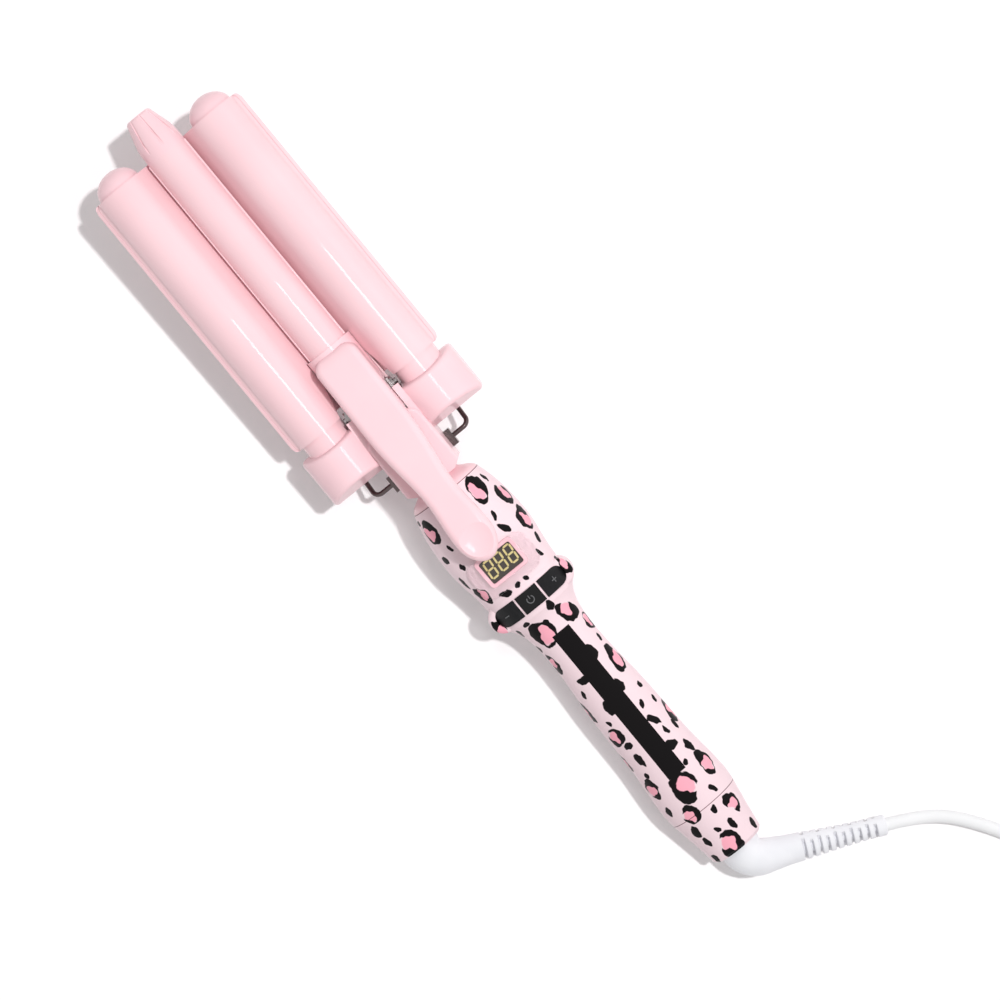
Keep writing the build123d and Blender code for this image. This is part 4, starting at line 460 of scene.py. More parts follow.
moulding = Finish("white_plug_moulding", (0.82, 0.82, 0.83), roughness=0.38)
cloudy(moulding, (0.84, 0.84, 0.85), (0.80, 0.80, 0.81), scale=70)
moulding.grain(1800, 0.15, 0.00006, detail=3)

strap = Finish("black_tie", (0.03, 0.03, 0.032), roughness=0.75)
weave = strap.node("TexVoronoi", scale=2200, vector=strap.coordinates)
strap.bump(weave.outputs["Distance"], strength=0.6, distance=0.0002)
strap.roughness(strap.spread(weave.outputs["Distance"], 0.0, 0.7, 0.62, 0.9))

cord.data.materials.append(jacket.material)
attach(cord, "cord_swivel")
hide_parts("cord", "cord_coil", "plug_lead")
boot = finish_piece("ribbed_boot", boot_mesh, rubber.material, "cord_swivel")
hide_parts("cord_boot")
dress(moulding, "mains_plug")
dress(strap, "cord_tie")
print("cord dressed")

# %% [markdown]
# ## Pink finishes
#
# The barrels and the jaw's plates are metal under a smooth glossy lacquer. The housings, the neck, the
# band and the lever are moulded plastic in the same pink, a little less glossy, with a trace of flow
# in the colour and a very fine orange peel. A clear coat on the Principled shader gives the lacquer
# its sharp reflection over a softer base.

# %% Lacquer and moulded plastic
PLATE_PINK = (0.88, 0.60, 0.635)
PLASTIC_PINK = (0.885, 0.605, 0.645)

lacquer = Finish("pink_lacquer", PLATE_PINK, roughness=0.3)
cloudy(lacquer, PLATE_PINK, (0.865, 0.58, 0.617), scale=35)
lacquer.set(coat_weight=0.6, coat_roughness=0.05, specular_ior_level=0.1)
lacquer.grain(420, 0.05, 0.0001)

plastic = Finish("pink_moulded_plastic", PLASTIC_PINK, roughness=0.33)
cloudy(plastic, PLASTIC_PINK, (0.87, 0.585, 0.627), scale=45)
plastic.set(coat_weight=0.4, coat_roughness=0.08, specular_ior_level=0.1)
plastic.grain(900, 0.05, 0.00008, detail=3)

dress(lacquer, "left_barrel", "right_barrel", "centre_barrel", "jaw_plate", "trough_plate",
      "left_side_rail", "right_side_rail", "cross_braces")
dress(plastic, "left_end_cap", "right_end_cap", "cool_tip", "left_housing", "right_housing",
      "barrel_band", "lever_cover", "neck_upper_shell", "neck_lower_shell", "front_ring")
print("pink finishes on the barrels, plates and mouldings")

# %% [markdown]
# ## The rolled hems of the jaw's lips
#
# Along both long edges the jaw's sheet is rolled down and outwards, with a fine seam where the roll
# meets itself. One profile is drawn in the plane across the tool and carried along the lip. Near both
# ends it draws back in a quarter round, so the hem has round corners.

# %% The hems
HEM_PROFILE = [(34.20, 3.2), (34.62, 2.35), (35.15, 1.78), (35.72, 1.42), (35.84, 1.08), (35.98, 1.28),
               (36.60, 1.00), (37.10, 0.78), (37.28, 0.50), (37.28, -0.02), (37.05, -0.22), (34.25, -0.10)]
HEM_REAR, HEM_FRONT = 2.2, 128.7
HEM_CORNER = 3.2
HEM_ROOT_Y = 34.3
HEM_LEAST, HEM_FLATTEST = 0.12, 0.6      # of its reach and its height, at the ends


def drawn_back(x):
    """How far the hem reaches at a station: 1 along the lip, less in the round corners."""
    from_end = min(x - HEM_REAR, HEM_FRONT - x, HEM_CORNER)
    return HEM_LEAST + (1 - HEM_LEAST) * sqrt(max(0.0, 1 - (1 - from_end / HEM_CORNER) ** 2))


def hem_net(hand):
    """The hem on one side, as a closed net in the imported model's frame."""
    net = bmesh.new()
    near = [HEM_CORNER * (1 - cos(radians(turn))) for turn in range(0, 91, 15)]
    places = [HEM_REAR + d for d in near] + [HEM_FRONT - d for d in reversed(near)]
    loops = []
    for x in places:
        reach = drawn_back(x)
        flattened = HEM_FLATTEST + (1 - HEM_FLATTEST) * reach
        loops.append([net.verts.new((x, hand * (HEM_ROOT_Y + (y - HEM_ROOT_Y) * reach), z * flattened))
                      for y, z in HEM_PROFILE])
    wrap_faces(net, loops)
    net.transform(TOOL)
    return net


for hand, side in ((1, "left"), (-1, "right")):
    hem_mesh = mesh_from(hem_net(hand), side + "_lip_hem")
    finish_piece(hem_mesh.name, hem_mesh, lacquer.material, "lever")

# %% [markdown]
# ## The animal print
#
# The handle, the collar and the tail cap are wrapped in a printed film, a common leopard pattern: a pale
# pink ground, broken black rosettes with a brighter pink middle, and black blots between them. A picture
# would be the usual way, but the finish has to stand without one, so the print is worked out in the
# shader.
#
# First the surface is unrolled: x runs along the handle, and the angle about its axis times the distance
# from it gives the way round. In that plane each mark is an ellipse. A Mapping node of the kind "texture"
# moves, turns and scales the plane so that the ellipse becomes the unit circle: the length of the vector
# then says how far out a point lies, and its angle where round the ring. A blot is all that lies inside
# 1. A rosette is a band about 1 whose width swells and fades with the angle, so that it breaks open. A
# soft noise shakes the whole plane first, which gives every edge its hand-cut look. The underside, where
# nothing needs to sit at a given place, takes its rosettes from the cells of a Voronoi texture.

# %% Unrolling the handle
printed = Finish("animal_print", (0.84, 0.66, 0.70), roughness=0.3)
into_tool = Matrix.Rotation(TILT, 3, "Y")
shift = into_tool @ Vector((REST_X, 0, REST_Z))
tool_place = printed.mapped(turn=(0, TILT, 0), scale=(1000, 1000, 1000), move=tuple(-shift))
parts = printed.node("SeparateXYZ", vector=tool_place)
along, across_tool, height = parts.outputs
angle_round = printed.math("ARCTAN2", across_tool, height)
from_axis = printed.math("SQRT", printed.math("ADD", printed.math("POWER", across_tool, 2.0),
                                              printed.math("POWER", height, 2.0)))
flat = printed.node("CombineXYZ", x=along, y=printed.math("MULTIPLY", angle_round, from_axis))
unrolled = flat.outputs[0]


def shaken(finish, vector, scale, amount):
    """Shift a vector by a soft noise, so that edges come out as if cut by hand."""
    noise = finish.noise(scale, detail=1.5, vector=vector)
    centred = finish.node("VectorMath", vector=noise.outputs["Color"])
    centred.operation = "SUBTRACT"
    centred.inputs[1].default_value = (0.5, 0.5, 0.5)
    scaled = finish.node("VectorMath", vector=centred.outputs[0])
    scaled.operation = "MULTIPLY_ADD"
    scaled.inputs[1].default_value = (amount, amount, 0)
    finish.link(vector, scaled.inputs[2])
    return scaled.outputs[0]


def cells(finish, vector, pitch):
    """Voronoi cells of a pitch in millimetres: the distance to the middle, and a random value."""
    node = finish.node("TexVoronoi", scale=1 / pitch, randomness=0.8, vector=vector)
    node.voronoi_dimensions = "2D"
    distance = finish.math("MULTIPLY", node.outputs["Distance"], pitch)
    chance = finish.node("SeparateColor", color=node.outputs["Color"])
    return distance, chance.outputs[0]


def band(finish, value, low, high, edge=0.25):
    """1 where a value lies between low and high, with a short soft edge."""
    above = finish.spread(value, low - edge, low + edge)
    below = finish.spread(value, high - edge, high + edge, 1.0, 0.0)
    return finish.math("MULTIPLY", above, below)


# %% Marks at given places
# The handle's radius at a few stations, to turn a place across the handle into a way round it.
RADIUS_AT = [(-45, 17.5), (-70, 20.0), (-92, 17.5), (-110, 14.5), (-125, 12.7), (-160, 13.3), (-200, 14.8),
             (-215, 14.4), (-235, 12.0)]
# Middle along and across the handle, half-length, half-width, turn in degrees.
ROSETTES = [(-54, -11, 5.2, 3.2, 5), (-56, 15, 4.2, 3.4, 15), (-75, -18, 4.4, 3.4, 0),
            (-114, -8, 4.2, 3.4, 30), (-116, 5, 5.4, 4.3, -15), (-142, -11, 5.0, 3.4, -20),
            (-166, 10, 3.6, 3.2, 0), (-198, 0, 5.4, 4.4, 10), (-197, -12, 4.4, 3.2, 0),
            (-192, 12, 3.6, 3.2, 20), (-209, 6, 3.6, 3.0, 30), (-228, 1, 4.6, 4.0, 0),
            (-88, 14, 3.8, 2.8, 20), (-128, 11, 3.8, 2.6, 10), (-216, -10, 3.4, 2.8, 0),
            (-152, 13, 4.0, 3.4, 0), (-62, -18, 4.2, 3.4, 20), (-178, 14, 3.8, 3.2, 10),
            (-172, -14, 4.0, 3.4, -10), (-123, -12, 3.6, 3.0, 0), (-104, 18, 3.4, 3.0, 0),
            (-99, -17, 3.4, 2.8, 0)]
BLOTS = [(-66, -10, 2.4, 1.1, -10), (-72, -10, 3.0, 1.5, 35), (-89, -14, 2.3, 1.2, 25),
         (-93, -4, 1.6, 1.0, 30), (-93, 0, 1.1, 1.4, 0), (-93, 6, 1.6, 2.8, -15), (-108, -4, 2.2, 1.9, 20),
         (-110, 13, 2.4, 1.4, -20), (-125, -11, 1.7, 0.9, 0), (-131, -11, 1.8, 0.9, 0),
         (-133, -5, 3.6, 2.0, 5), (-140, 5, 1.8, 2.9, 0), (-150, -5, 3.0, 1.9, 0), (-155, 4, 3.3, 2.0, 0),
         (-156, -11, 1.6, 1.2, 30), (-154, 12, 3.0, 1.3, 8), (-170, -7, 3.6, 1.6, 25),
         (-177, -12, 2.6, 1.2, 0), (-182, -6, 2.1, 3.2, -15), (-187, -11, 3.2, 1.8, 5),
         (-179, 8, 3.6, 1.8, 12), (-68, 17, 1.8, 2.0, 0), (-80, 17, 3.2, 1.5, 10), (-216, 9, 2.8, 2.2, 8),
         (-222, 8, 2.6, 1.5, 12), (-222, -5, 2.8, 1.3, -8), (-228, -11, 2.8, 1.8, 5),
         (-164, -12, 1.6, 1.2, 0), (-65, 12, 1.8, 1.0, 10), (-84, -17, 2.4, 1.5, -15),
         (-74, 13, 1.5, 1.2, 0), (-120, 12, 1.8, 1.3, 20), (-145, 9, 1.9, 1.1, -15),
         (-160, 8, 1.5, 1.1, 30), (-172, 8, 1.5, 1.9, 0), (-186, 10, 1.6, 1.2, 0),
         (-162, -7, 2.0, 1.0, -20), (-176, -8, 1.9, 1.1, 15), (-191, -6, 1.6, 1.1, 0),
         (-206, -8, 2.4, 1.3, 20), (-203, 12, 2.2, 1.4, -10), (-213, -3, 1.7, 1.2, 0),
         (-220, 1, 1.5, 1.1, 0), (-230, 10, 2.4, 1.6, 0), (-108, 8, 1.1, 1.7, 0), (-50, 17, 1.2, 2.0, 0),
         (-52, -16, 2.2, 1.0, 10), (-112, 1, 1.6, 1.2, 30)]
marks_random = Random(11)


def radius_at(x):
    """The handle's radius at a station, straight between the given ones."""
    for (x1, r1), (x2, r2) in zip(RADIUS_AT, RADIUS_AT[1:]):
        if x >= x2:
            return r1 + (r2 - r1) * min(1.0, (x - x1) / (x2 - x1))
    return RADIUS_AT[-1][1]


def mark_plane(finish, vector, mark):
    """The unrolled plane, moved, turned and scaled so that a mark's ellipse is the unit circle."""
    x, y, half_length, half_width, turn = mark
    radius = radius_at(x)
    round_way = radius * asin(max(-0.99, min(0.99, y / radius)))
    node = finish.node("Mapping", location=(x, round_way, 0), rotation=(0, 0, radians(turn)),
                       scale=(half_length, half_width, 1), vector=vector)
    node.vector_type = "TEXTURE"
    return node.outputs["Vector"]


def length_of(finish, vector):
    node = finish.node("VectorMath", vector=vector)
    node.operation = "LENGTH"
    return node.outputs["Value"]


def broken_ring(finish, vector, out):
    """How far inside a ring's black band a point is: the band swells and fades round the ring."""
    split = finish.node("SeparateXYZ", vector=vector)
    round_ring = finish.math("ARCTAN2", split.outputs["Y"], split.outputs["X"])
    width = 0.25
    for lobes, amount in ((1.0, 0.16), (2.0, 0.13), (3.0, 0.11)):
        phase = marks_random.uniform(0, 2 * pi)
        wave = finish.math("SINE", finish.math("MULTIPLY_ADD", round_ring, lobes, phase))
        width = finish.math("MULTIPLY_ADD", wave, amount, width)
    off = finish.math("ABSOLUTE", finish.math("SUBTRACT", out, 1.0))
    return finish.math("SUBTRACT", width, off)


placed = shaken(printed, unrolled, 0.30, 2.6)
inside_band = -1.0
nearest = 9.0
for mark in ROSETTES:
    plane = mark_plane(printed, placed, mark)
    out = length_of(printed, plane)
    inside_band = printed.math("MAXIMUM", inside_band, broken_ring(printed, plane, out))
    nearest = printed.math("MINIMUM", nearest, out)
blot_out = 9.0
for mark in BLOTS:
    blot_out = printed.math("MINIMUM", blot_out, length_of(printed, mark_plane(printed, placed, mark)))
ring = printed.spread(inside_band, -0.03, 0.03)
middle = printed.spread(nearest, 0.80, 0.90, 1.0, 0.0)
blot = printed.spread(blot_out, 0.95, 1.05, 1.0, 0.0)
print("marks placed by hand:", len(ROSETTES) + len(BLOTS))

# %% The underside, the label's band and the colours
CELL_PITCH, CELL_RING, CELL_MIDDLE, CELL_BLOT = 15.0, (2.9, 5.3), (2.7, 3.2), (2.5, 2.8)
PLACED_ANGLE = 1.62                      # radians from the top, where the placed marks end
shaken_place = shaken(printed, unrolled, 0.16, 7.0)
distance, chance = cells(printed, shaken_place, CELL_PITCH)
breaks = printed.spread(printed.noise(0.21, detail=1.0, vector=unrolled).outputs["Fac"], 0.40, 0.45)
is_rosette = printed.spread(chance, 0.35, 0.37)
hidden = printed.spread(printed.math("ABSOLUTE", angle_round), PLACED_ANGLE, PLACED_ANGLE + 0.01)
hidden_rosette = printed.math("MULTIPLY", is_rosette, hidden)
broken_cell_ring = printed.math("MULTIPLY", band(printed, distance, *CELL_RING), breaks)
hidden_ring = printed.math("MULTIPLY", broken_cell_ring, hidden_rosette)
hidden_middle = printed.math("MULTIPLY", printed.spread(distance, *CELL_MIDDLE, 1.0, 0.0), hidden_rosette)
hidden_blot = printed.math("MULTIPLY", printed.spread(distance, *CELL_BLOT, 1.0, 0.0), hidden)

# A bare black band lies along the top of the grip.
LABEL_FRONT, LABEL_REAR, LABEL_MIDDLE, LABEL_HALF_WIDTH = -118.6, -192.6, -0.6, 4.2
off_label = printed.math("ABSOLUTE", printed.math("SUBTRACT", across_tool, LABEL_MIDDLE))
label = printed.math("MULTIPLY", band(printed, along, LABEL_REAR, LABEL_FRONT, 0.1),
                     printed.math("LESS_THAN", off_label, LABEL_HALF_WIDTH))
label = printed.math("MULTIPLY", label, printed.math("GREATER_THAN", height, 0.0))

# The film ends at the ring and at the tail cap. The shade in the narrow gap of each joint is painted in as a
# thin dark line.
RING_JOINT, TAIL_JOINT, JOINT_SHADE_HALF_WIDTH = -46.8, -210.0, 0.14
joint_gap_shade = printed.math("MAXIMUM",
                    band(printed, along, RING_JOINT - 2 * JOINT_SHADE_HALF_WIDTH, RING_JOINT + 1.0, 0.05),
                    band(printed, along, TAIL_JOINT - JOINT_SHADE_HALF_WIDTH, TAIL_JOINT + JOINT_SHADE_HALF_WIDTH, 0.05))

black = label
for part in (ring, blot, hidden_ring, printed.math("SUBTRACT", hidden_blot, hidden_middle, clamp=True)):
    black = printed.math("MAXIMUM", black, part)
pinker = printed.math("MAXIMUM", middle, hidden_middle)
ground = printed.mix(pinker, (0.84, 0.66, 0.70), (0.90, 0.40, 0.49))
# Painted shade: the joints' gaps are darkened to a thin dark maroon line.
ground = printed.mix(joint_gap_shade, ground, (0.16, 0.07, 0.085))
printed.colour(printed.mix(black, ground, (0.006, 0.005, 0.0055)))
printed.set(coat_weight=0.03, coat_roughness=0.12, specular_ior_level=0.06)
printed.grain(700, 0.05, 0.00008)
dress(printed, "handle_upper_shell", "handle_lower_shell", "button_collar", "tail_cap")
print("print on the handle, collar and tail cap; nodes:", len(printed.tree.nodes))

# %% [markdown]
# ## Metal, buttons and the display
#
# The stand and its lugs are polished dark wire and plate. The keys are black, the middle one glossy and
# the others satin. The bezel is clear with a pink tint, and the window in it is smoked.

# %% Metal
bright = Finish("bright_stand_steel", (0.11, 0.085, 0.085), roughness=0.16, metallic=1.0)
bright.uneven_gloss(1500, 0.10, 0.24, detail=3)
bright.grain(3500, 0.08, 0.00003)
dress(bright, "stand_wire", "stand_bracket")

plain = Finish("bare_steel", (0.34, 0.32, 0.32), roughness=0.35, metallic=1.0)
grain = plain.noise(900, detail=3, vector=plain.mapped(scale=(0.15, 1, 1)))
plain.roughness(plain.spread(grain.outputs["Fac"], 0.3, 0.7, 0.25, 0.45))
plain.bump(grain.outputs["Fac"], strength=0.1, distance=0.00004)
dress(plain, "hinge_frame", "hinge_pin", "hinge_clips", "lever_bracket", "case_screws", "board_screws")

dark_steel = Finish("spring_steel", (0.30, 0.30, 0.31), roughness=0.35, metallic=1.0)
dark_steel.uneven_gloss(1200, 0.28, 0.45)
dress(dark_steel, "return_spring")

yellow = Finish("brass_contacts", (0.72, 0.53, 0.24), roughness=0.3, metallic=1.0)
yellow.uneven_gloss(1400, 0.2, 0.42, detail=3)
dress(yellow, "slip_rings", "contact_springs", "plug_blades")

# %% Inner parts
def inner_finish(name, colour, roughness, scale, nodes, metallic=0.0):
    """A finish for parts inside, with a little drift in its colour and a fine bump."""
    finish = Finish(name, colour, roughness, metallic)
    cloudy(finish, colour, tuple(0.86 * c for c in colour), scale=scale)
    finish.grain(scale * 6, 0.15, 0.00006, detail=3)
    dress(finish, *nodes)


inner_finish("extruded_spreader", (0.70, 0.71, 0.73), 0.4, 300,
             ("outer_heat_spreaders", "centre_heat_spreaders"), metallic=1.0)
inner_finish("heater_film", (0.80, 0.62, 0.30), 0.5, 250, ("outer_heater_cores", "centre_heater_core"))
inner_finish("sensor_glass", (0.60, 0.28, 0.10), 0.2, 500,
             ("outer_temperature_sensors", "centre_temperature_sensor"))
inner_finish("solder_mask", (0.02, 0.16, 0.06), 0.35, 400, ("control_board", "power_board"))
inner_finish("component_black", (0.03, 0.03, 0.035), 0.5, 500,
             ("board_components", "tactile_switches", "display_module", "brush_block"))
inner_finish("lead_sleeve", (0.72, 0.70, 0.62), 0.8, 900, ("lead_bundle",))
inner_finish("white_swivel_plastic", (0.80, 0.80, 0.80), 0.45, 200, ("swivel_spindle",))

# %% Keys, bezel and window
satin_key = Finish("satin_black_key", (0.010, 0.010, 0.011), roughness=0.5)
cloudy(satin_key, (0.012, 0.012, 0.013), (0.008, 0.008, 0.009), scale=300)
satin_key.set(specular_ior_level=0.15)
satin_key.grain(4000, 0.25, 0.00005)
dress(satin_key, "minus_button", "plus_button")

gloss_key = Finish("gloss_black_key", (0.006, 0.006, 0.006), roughness=0.1)
gloss_key.uneven_gloss(900, 0.08, 0.16)
gloss_key.set(specular_ior_level=0.2)
dress(gloss_key, "power_button")

clear = Finish("clear_pink_bezel", (1.0, 0.965, 0.975), roughness=0.03)
clear.set(transmission_weight=1.0, ior=1.3)
clear.uneven_gloss(600, 0.02, 0.06)
dress(clear, "display_bezel")

smoked = Finish("smoked_window", (0.030, 0.020, 0.014), roughness=0.12)
cloudy(smoked, (0.036, 0.024, 0.017), (0.022, 0.015, 0.011), scale=400)
smoked.set(coat_weight=0.5, coat_roughness=0.05)
dress(smoked, "display_window")
print("metal, keys, bezel and window dressed")

# %% [markdown]
# ## The digits
#
# Three seven-segment digits, lit in warm gold, all their segments on. Each segment is a flat bar with
# pointed ends. One digit is drawn from its seven bars, and a small Geometry Nodes tree sets the digits in
# a row, with the pitch as a named input, because the row is a repeat.

# %% One digit
WINDOW_MIDDLE, WINDOW_TOP, WINDOW_LEAN = -82.6, 19.5, radians(6.88)
DIGIT_HEIGHT, DIGIT_WIDTH, STROKE, DIGIT_PITCH = 8.2, 3.9, 0.8, 5.05
WINDOW_FACE = (TOOL @ Matrix.Translation((WINDOW_MIDDLE, 0, WINDOW_TOP))
               @ Matrix.Rotation(-WINDOW_LEAN, 4, "Y"))
DIGIT_SLANT = 0.09
SEGMENT_GAP = 0.14
SEGMENT_RISE = 0.06
DIGITS_PLACE = (1.2, -0.6, 0.01)         # the middle digit's centre on the window's face


def raise_plate(net, corners, bottom, top):
    """A flat plate with straight sides between two heights."""
    low = [net.verts.new((x, y, bottom)) for x, y in corners]
    high = [net.verts.new((x, y, top)) for x, y in corners]
    net.faces.new(reversed(low))
    net.faces.new(high)
    count = len(corners)
    for k in range(count):
        net.faces.new((low[k], low[(k + 1) % count], high[(k + 1) % count], high[k]))


def segment(net, start, end):
    """A bar with pointed ends from start to end, in the digit's plane."""
    ahead = (end - start).normalized()
    side = Vector((-ahead.y, ahead.x)) * STROKE / 2
    start = start + ahead * SEGMENT_GAP
    end = end - ahead * SEGMENT_GAP
    tip = ahead * STROKE / 2
    corners = (start, start + tip + side, end - tip + side, end, end - tip - side, start + tip - side)
    raise_plate(net, [(c.x, c.y - DIGIT_SLANT * c.x) for c in corners], 0, SEGMENT_RISE)


digit_net = bmesh.new()
half_h, half_w = (DIGIT_HEIGHT - STROKE) / 2, (DIGIT_WIDTH - STROKE) / 2
for x in (-half_h, 0, half_h):
    segment(digit_net, Vector((x, -half_w)), Vector((x, half_w)))
for y in (-half_w, half_w):
    segment(digit_net, Vector((-half_h, y)), Vector((0, y)))
    segment(digit_net, Vector((0, y)), Vector((half_h, y)))
bmesh.ops.recalc_face_normals(digit_net, faces=digit_net.faces)
digit_mesh = mesh_from(digit_net, "digit")
print("faces of one digit:", len(digit_mesh.polygons))


# %% [markdown]
# ## Repeating with Geometry Nodes
#
# The digits repeat one small shape along a line. One helper builds a tree for a row: a Mesh Line gives
# the places, Instance on Points puts the shape there, Realize Instances makes it real, and Set Material
# gives it its finish. The result is read back as a plain mesh, because instances don't survive the export.

# %% A row of one shape
def row_tree(name):
    """A node tree that repeats an object along a line, with named inputs."""
    tree = bpy.data.node_groups.new(name, "GeometryNodeTree")
    face = tree.interface
    for label, kind in (("Geometry", "Geometry"), ("Shape", "Object"), ("Count", "Int"), ("Start", "Vector"),
                        ("Pitch", "Vector"), ("Finish", "Material")):
        face.new_socket(label, in_out="INPUT", socket_type="NodeSocket" + kind)
    face.new_socket("Geometry", in_out="OUTPUT", socket_type="NodeSocketGeometry")
    given = tree.nodes.new("NodeGroupInput")
    result = tree.nodes.new("NodeGroupOutput")
    line = tree.nodes.new("GeometryNodeMeshLine")
    line.mode = "OFFSET"
    shape = tree.nodes.new("GeometryNodeObjectInfo")
    place = tree.nodes.new("GeometryNodeInstanceOnPoints")
    real = tree.nodes.new("GeometryNodeRealizeInstances")
    paint = tree.nodes.new("GeometryNodeSetMaterial")
    for source, output, target, entry in (
            (given, "Count", line, "Count"), (given, "Start", line, "Start Location"),
            (given, "Pitch", line, "Offset"), (given, "Shape", shape, "Object"),
            (line, "Mesh", place, "Points"), (shape, "Geometry", place, "Instance"),
            (place, "Instances", real, "Geometry"), (real, "Geometry", paint, "Geometry"),
            (given, "Finish", paint, "Material"), (paint, "Geometry", result, "Geometry")):
        tree.links.new(source.outputs[output], target.inputs[entry])
    return tree


ROW = row_tree("row_of_shapes")


def grow(tree, name, **values):
    """Run a node tree with its named inputs, and return what it makes as a plain mesh."""
    host = bpy.data.objects.new(name, bpy.data.meshes.new(name))
    bpy.context.scene.collection.objects.link(host)
    modifier = host.modifiers.new("nodes", "NODES")
    modifier.node_group = tree
    wanted = {key.replace("_", " ").title(): value for key, value in values.items()}
    for item in tree.interface.items_tree:
        if item.in_out == "INPUT" and item.name in wanted:
            modifier[item.identifier] = wanted[item.name]
    bpy.context.view_layer.update()
    made = bpy.data.meshes.new_from_object(host.evaluated_get(bpy.context.evaluated_depsgraph_get()))
    bpy.data.objects.remove(host)
    made.name = name
    return made


print("row tree inputs:", [i.name for i in ROW.interface.items_tree if i.in_out == "INPUT"])

# %% The row of digits
gold = Finish("gold_segments", (0.52, 0.44, 0.20), roughness=0.4)
cloudy(gold, (0.56, 0.48, 0.23), (0.46, 0.38, 0.16), scale=900)
gold.set(emission_color=(0.80, 0.66, 0.30, 1.0), emission_strength=0.12)
seed = bpy.data.objects.new("digit_seed", digit_mesh)             # lends its mesh to the tree
bpy.context.scene.collection.objects.link(seed)
digits_mesh = grow(ROW, "display_digits", shape=seed, count=3, start=(0, -DIGIT_PITCH, 0),
                   pitch=(0, DIGIT_PITCH, 0), finish=gold.material)
bpy.data.objects.remove(seed)
digits_mesh.transform(WINDOW_FACE @ Matrix.Translation(DIGITS_PLACE))
finish_piece("display_digits", digits_mesh, gold.material, "handle", smooth=0)

# %% [markdown]
# ## The window's frame and the marks on the keys
#
# A raised frame of tinted pink plastic runs round the window. It is one rounded rectangle inside
# another, lifted over the window. The keys carry a plain minus, plus and power sign, each a thin raised
# line. Both are drawn on a flat plane first and then set on the display's or the key's face.

# %% Frame and signs
def rounded_outline(half_x, half_y, corner, per_corner=8):
    """The points of a rounded rectangle about the origin, counted round."""
    points = []
    for k, (sign_x, sign_y) in enumerate(((1, 1), (-1, 1), (-1, -1), (1, -1))):
        for j in range(per_corner + 1):
            turn = radians(90 * (k + j / per_corner))
            points.append(Vector((sign_x * (half_x - corner) + corner * cos(turn),
                                  sign_y * (half_y - corner) + corner * sin(turn))))
    return points


FRAME_INNER, FRAME_OUTER = (5.15, 7.7, 0.9), (6.7, 9.3, 2.0)     # half-length, half-width, corner
FRAME_FOOT, FRAME_RISE, FRAME_BEVEL_DROP, FRAME_BEVEL = -0.6, 0.75, 0.2, 0.15
FRAME_PLACE = (0.75, -0.4, 0)
frame_net = bmesh.new()
loops = []
shoulder = FRAME_RISE - FRAME_BEVEL_DROP
for outline, height_here in ((FRAME_INNER, 0.0), (FRAME_INNER, shoulder), (FRAME_INNER, FRAME_RISE),
                             (FRAME_OUTER, FRAME_RISE), (FRAME_OUTER, shoulder), (FRAME_OUTER, FRAME_FOOT)):
    inset = FRAME_BEVEL if height_here == FRAME_RISE else 0.0
    if outline is FRAME_OUTER:
        inset = -inset
    shape = rounded_outline(outline[0] + inset, outline[1] + inset, outline[2] + inset)
    loops.append([frame_net.verts.new((q.x, q.y, height_here)) for q in shape])
for low, high in zip(loops, loops[1:] + loops[:1]):
    for k in range(len(low)):
        frame_net.faces.new((low[k], low[(k + 1) % len(low)], high[(k + 1) % len(low)], high[k]))
bmesh.ops.recalc_face_normals(frame_net, faces=frame_net.faces)
frame_net.transform(WINDOW_FACE @ Matrix.Translation(FRAME_PLACE))
frame_mesh = mesh_from(frame_net, "window_frame")
tinted = Finish("tinted_frame", (0.86, 0.50, 0.57), roughness=0.12)
cloudy(tinted, (0.88, 0.54, 0.60), (0.82, 0.46, 0.53), scale=300)
tinted.set(coat_weight=0.5, coat_roughness=0.05)
finish_piece("window_frame", frame_mesh, tinted.material, "handle")

# %% Signs on the keys
KEY_ROW, KEY_TOP_R, SIDE_KEY_Y = -100.8, 18.2, 12.0
SIGN_FOOT, SIGN_HEIGHT, SIGN_WIDTH = -0.1, 0.16, 0.42
POWER_R, POWER_ARC, POWER_BAR = 1.5, (40, 320), (0.3, 1.9)
BAR_REACH = 1.3                          # half the length of the minus and of each bar of the plus


def sign_bar(net, start, end):
    """A raised bar from start to end on the flat plane."""
    ahead = (end - start).normalized()
    side = Vector((-ahead.y, ahead.x)) * SIGN_WIDTH / 2
    corners = (start + side, end + side, end - side, start - side)
    raise_plate(net, [(q.x, q.y) for q in corners], SIGN_FOOT, SIGN_HEIGHT)


def sign_arc(net, radius, from_turn, to_turn, steps=20):
    """A raised arc about the origin, as short bars that share their ends."""
    turns = [radians(from_turn + (to_turn - from_turn) * k / steps) for k in range(steps + 1)]
    for first, second in zip(turns, turns[1:]):
        sign_bar(net, Vector((cos(first), sin(first))) * radius, Vector((cos(second), sin(second))) * radius)


grey_sign = Finish("raised_key_sign", (0.10, 0.10, 0.105), roughness=0.35)
cloudy(grey_sign, (0.11, 0.11, 0.115), (0.08, 0.08, 0.085), scale=600)
for key, key_y in (("minus_button", SIDE_KEY_Y), ("power_button", 0.0), ("plus_button", -SIDE_KEY_Y)):
    sign = bmesh.new()
    if key == "power_button":
        sign_arc(sign, POWER_R, *POWER_ARC)
        sign_bar(sign, Vector((POWER_BAR[0], 0)), Vector((POWER_BAR[1], 0)))
    else:
        sign_bar(sign, Vector((0, -BAR_REACH)), Vector((0, BAR_REACH)))
    if key == "plus_button":
        sign_bar(sign, Vector((-BAR_REACH, 0)), Vector((BAR_REACH, 0)))
    bmesh.ops.recalc_face_normals(sign, faces=sign.faces)
    lean = asin(key_y / KEY_TOP_R)
    sign.transform(TOOL @ Matrix.Rotation(-lean, 4, "X") @ Matrix.Translation((KEY_ROW, 0, KEY_TOP_R)))
    sign_mesh = mesh_from(sign, key.replace("_button", "_sign"))
    finish_piece(sign_mesh.name, sign_mesh, grey_sign.material, key, smooth=0)

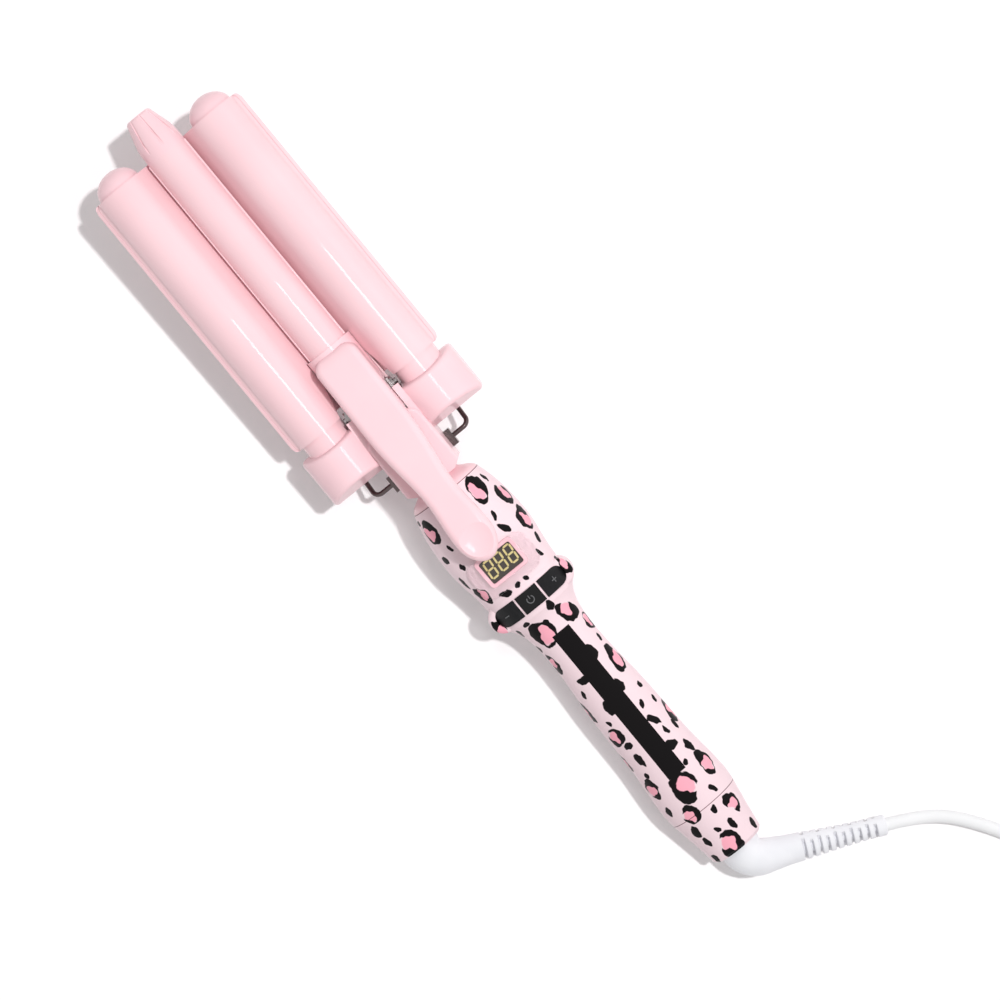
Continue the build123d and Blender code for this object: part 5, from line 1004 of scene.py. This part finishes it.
# %% [markdown]
# ## Light and floor
#
# The light is a soft studio light: an even white world, a sun high on the tool's right side that gives
# the shadow to the left, a weak wide lamp lower on that side, and a narrow strip over the barrels that
# draws the thin white streaks along their crowns. The floor is white. It keeps the shadow, and a little
# light of its own brings it to full white. That light, like the world's full white, is given only to
# camera, glossy and transmission rays.

# %% Lamps, world and floor
WORLD_LIGHT = 0.50
SUN_TILT = radians(21)
SUN_TURN = radians(-100)                 # where it stands, about Z from +X
SUN_SOFTNESS = radians(2.5)
SUN_STRENGTH = 1.85
FLOOR_GLOW = 0.09

world = bpy.data.worlds.new("studio")
bpy.context.scene.world = world
world.use_nodes = True
sky = world.node_tree
background = sky.nodes["Background"]
ray = sky.nodes.new("ShaderNodeLightPath")
seen = ray.outputs["Is Camera Ray"]
for kind in ("Is Transmission Ray", "Is Glossy Ray"):
    either = sky.nodes.new("ShaderNodeMath")
    either.operation = "MAXIMUM"
    sky.links.new(seen, either.inputs[0])
    sky.links.new(ray.outputs[kind], either.inputs[1])
    seen = either.outputs[0]
level = sky.nodes.new("ShaderNodeMapRange")
level.inputs["To Min"].default_value = WORLD_LIGHT
level.inputs["To Max"].default_value = 1.0
sky.links.new(seen, level.inputs["Value"])
background.inputs["Color"].default_value = (1, 1, 1, 1)
sky.links.new(level.outputs["Result"], background.inputs["Strength"])

sun_data = bpy.data.lights.new("key", "SUN")
sun_data.energy = SUN_STRENGTH
sun_data.angle = SUN_SOFTNESS
sun = bpy.data.objects.new("key", sun_data)
from_sun = Vector((sin(SUN_TILT) * cos(SUN_TURN), sin(SUN_TILT) * sin(SUN_TURN), cos(SUN_TILT)))
sun.rotation_euler = from_sun.to_track_quat("Z", "Y").to_euler()
sun.location = from_sun * 2
sun.visible_glossy = False               # the streaks come from the strip lamp
bpy.context.scene.collection.objects.link(sun)


def soft_lamp(name, place, target, length, width, energy):
    """A rectangular lamp at a place, its long side along the tool, aimed at a target."""
    data = bpy.data.lights.new(name, "AREA")
    data.shape = "RECTANGLE"
    data.size = length
    data.size_y = width
    data.energy = energy
    lamp = bpy.data.objects.new(name, data)
    back = (place - target).normalized()
    side = back.cross(Vector((1, 0, 0))).normalized()
    along = side.cross(back)
    lamp.matrix_world = Matrix.Translation(place) @ Matrix((along, side, back)).transposed().to_4x4()
    bpy.context.scene.collection.objects.link(lamp)


soft_lamp("strip", on_tool(6, -64, 262), on_tool(20, 0, 0), length=0.105, width=0.036, energy=0.12)
soft_lamp("side", on_tool(-20, -650, 420), on_tool(-20, 0, 0), length=0.7, width=0.4, energy=0.35)

floor_net = bmesh.new()
bmesh.ops.create_grid(floor_net, x_segments=1, y_segments=1, size=3.0)
floor_mesh = mesh_from(floor_net, "floor")
floor = bpy.data.objects.new("floor", floor_mesh)
bpy.context.scene.collection.objects.link(floor)
paper = Finish("white_floor", (0.90, 0.885, 0.89), roughness=0.9)
paper.set(specular_ior_level=0.0, emission_color=(1.0, 1.0, 1.0, 1.0))
floor_rays = paper.node("LightPath")
own_light = paper.math("MAXIMUM", floor_rays.outputs["Is Camera Ray"], floor_rays.outputs["Is Glossy Ray"])
own_light = paper.math("MAXIMUM", own_light, floor_rays.outputs["Is Transmission Ray"])
paper.link(paper.math("MULTIPLY", own_light, FLOOR_GLOW), paper.shader.inputs["Emission Strength"])
floor.data.materials.append(paper.material)
bpy.context.scene.view_settings.view_transform = "Standard"
print("sun from", [round(v, 2) for v in from_sun])
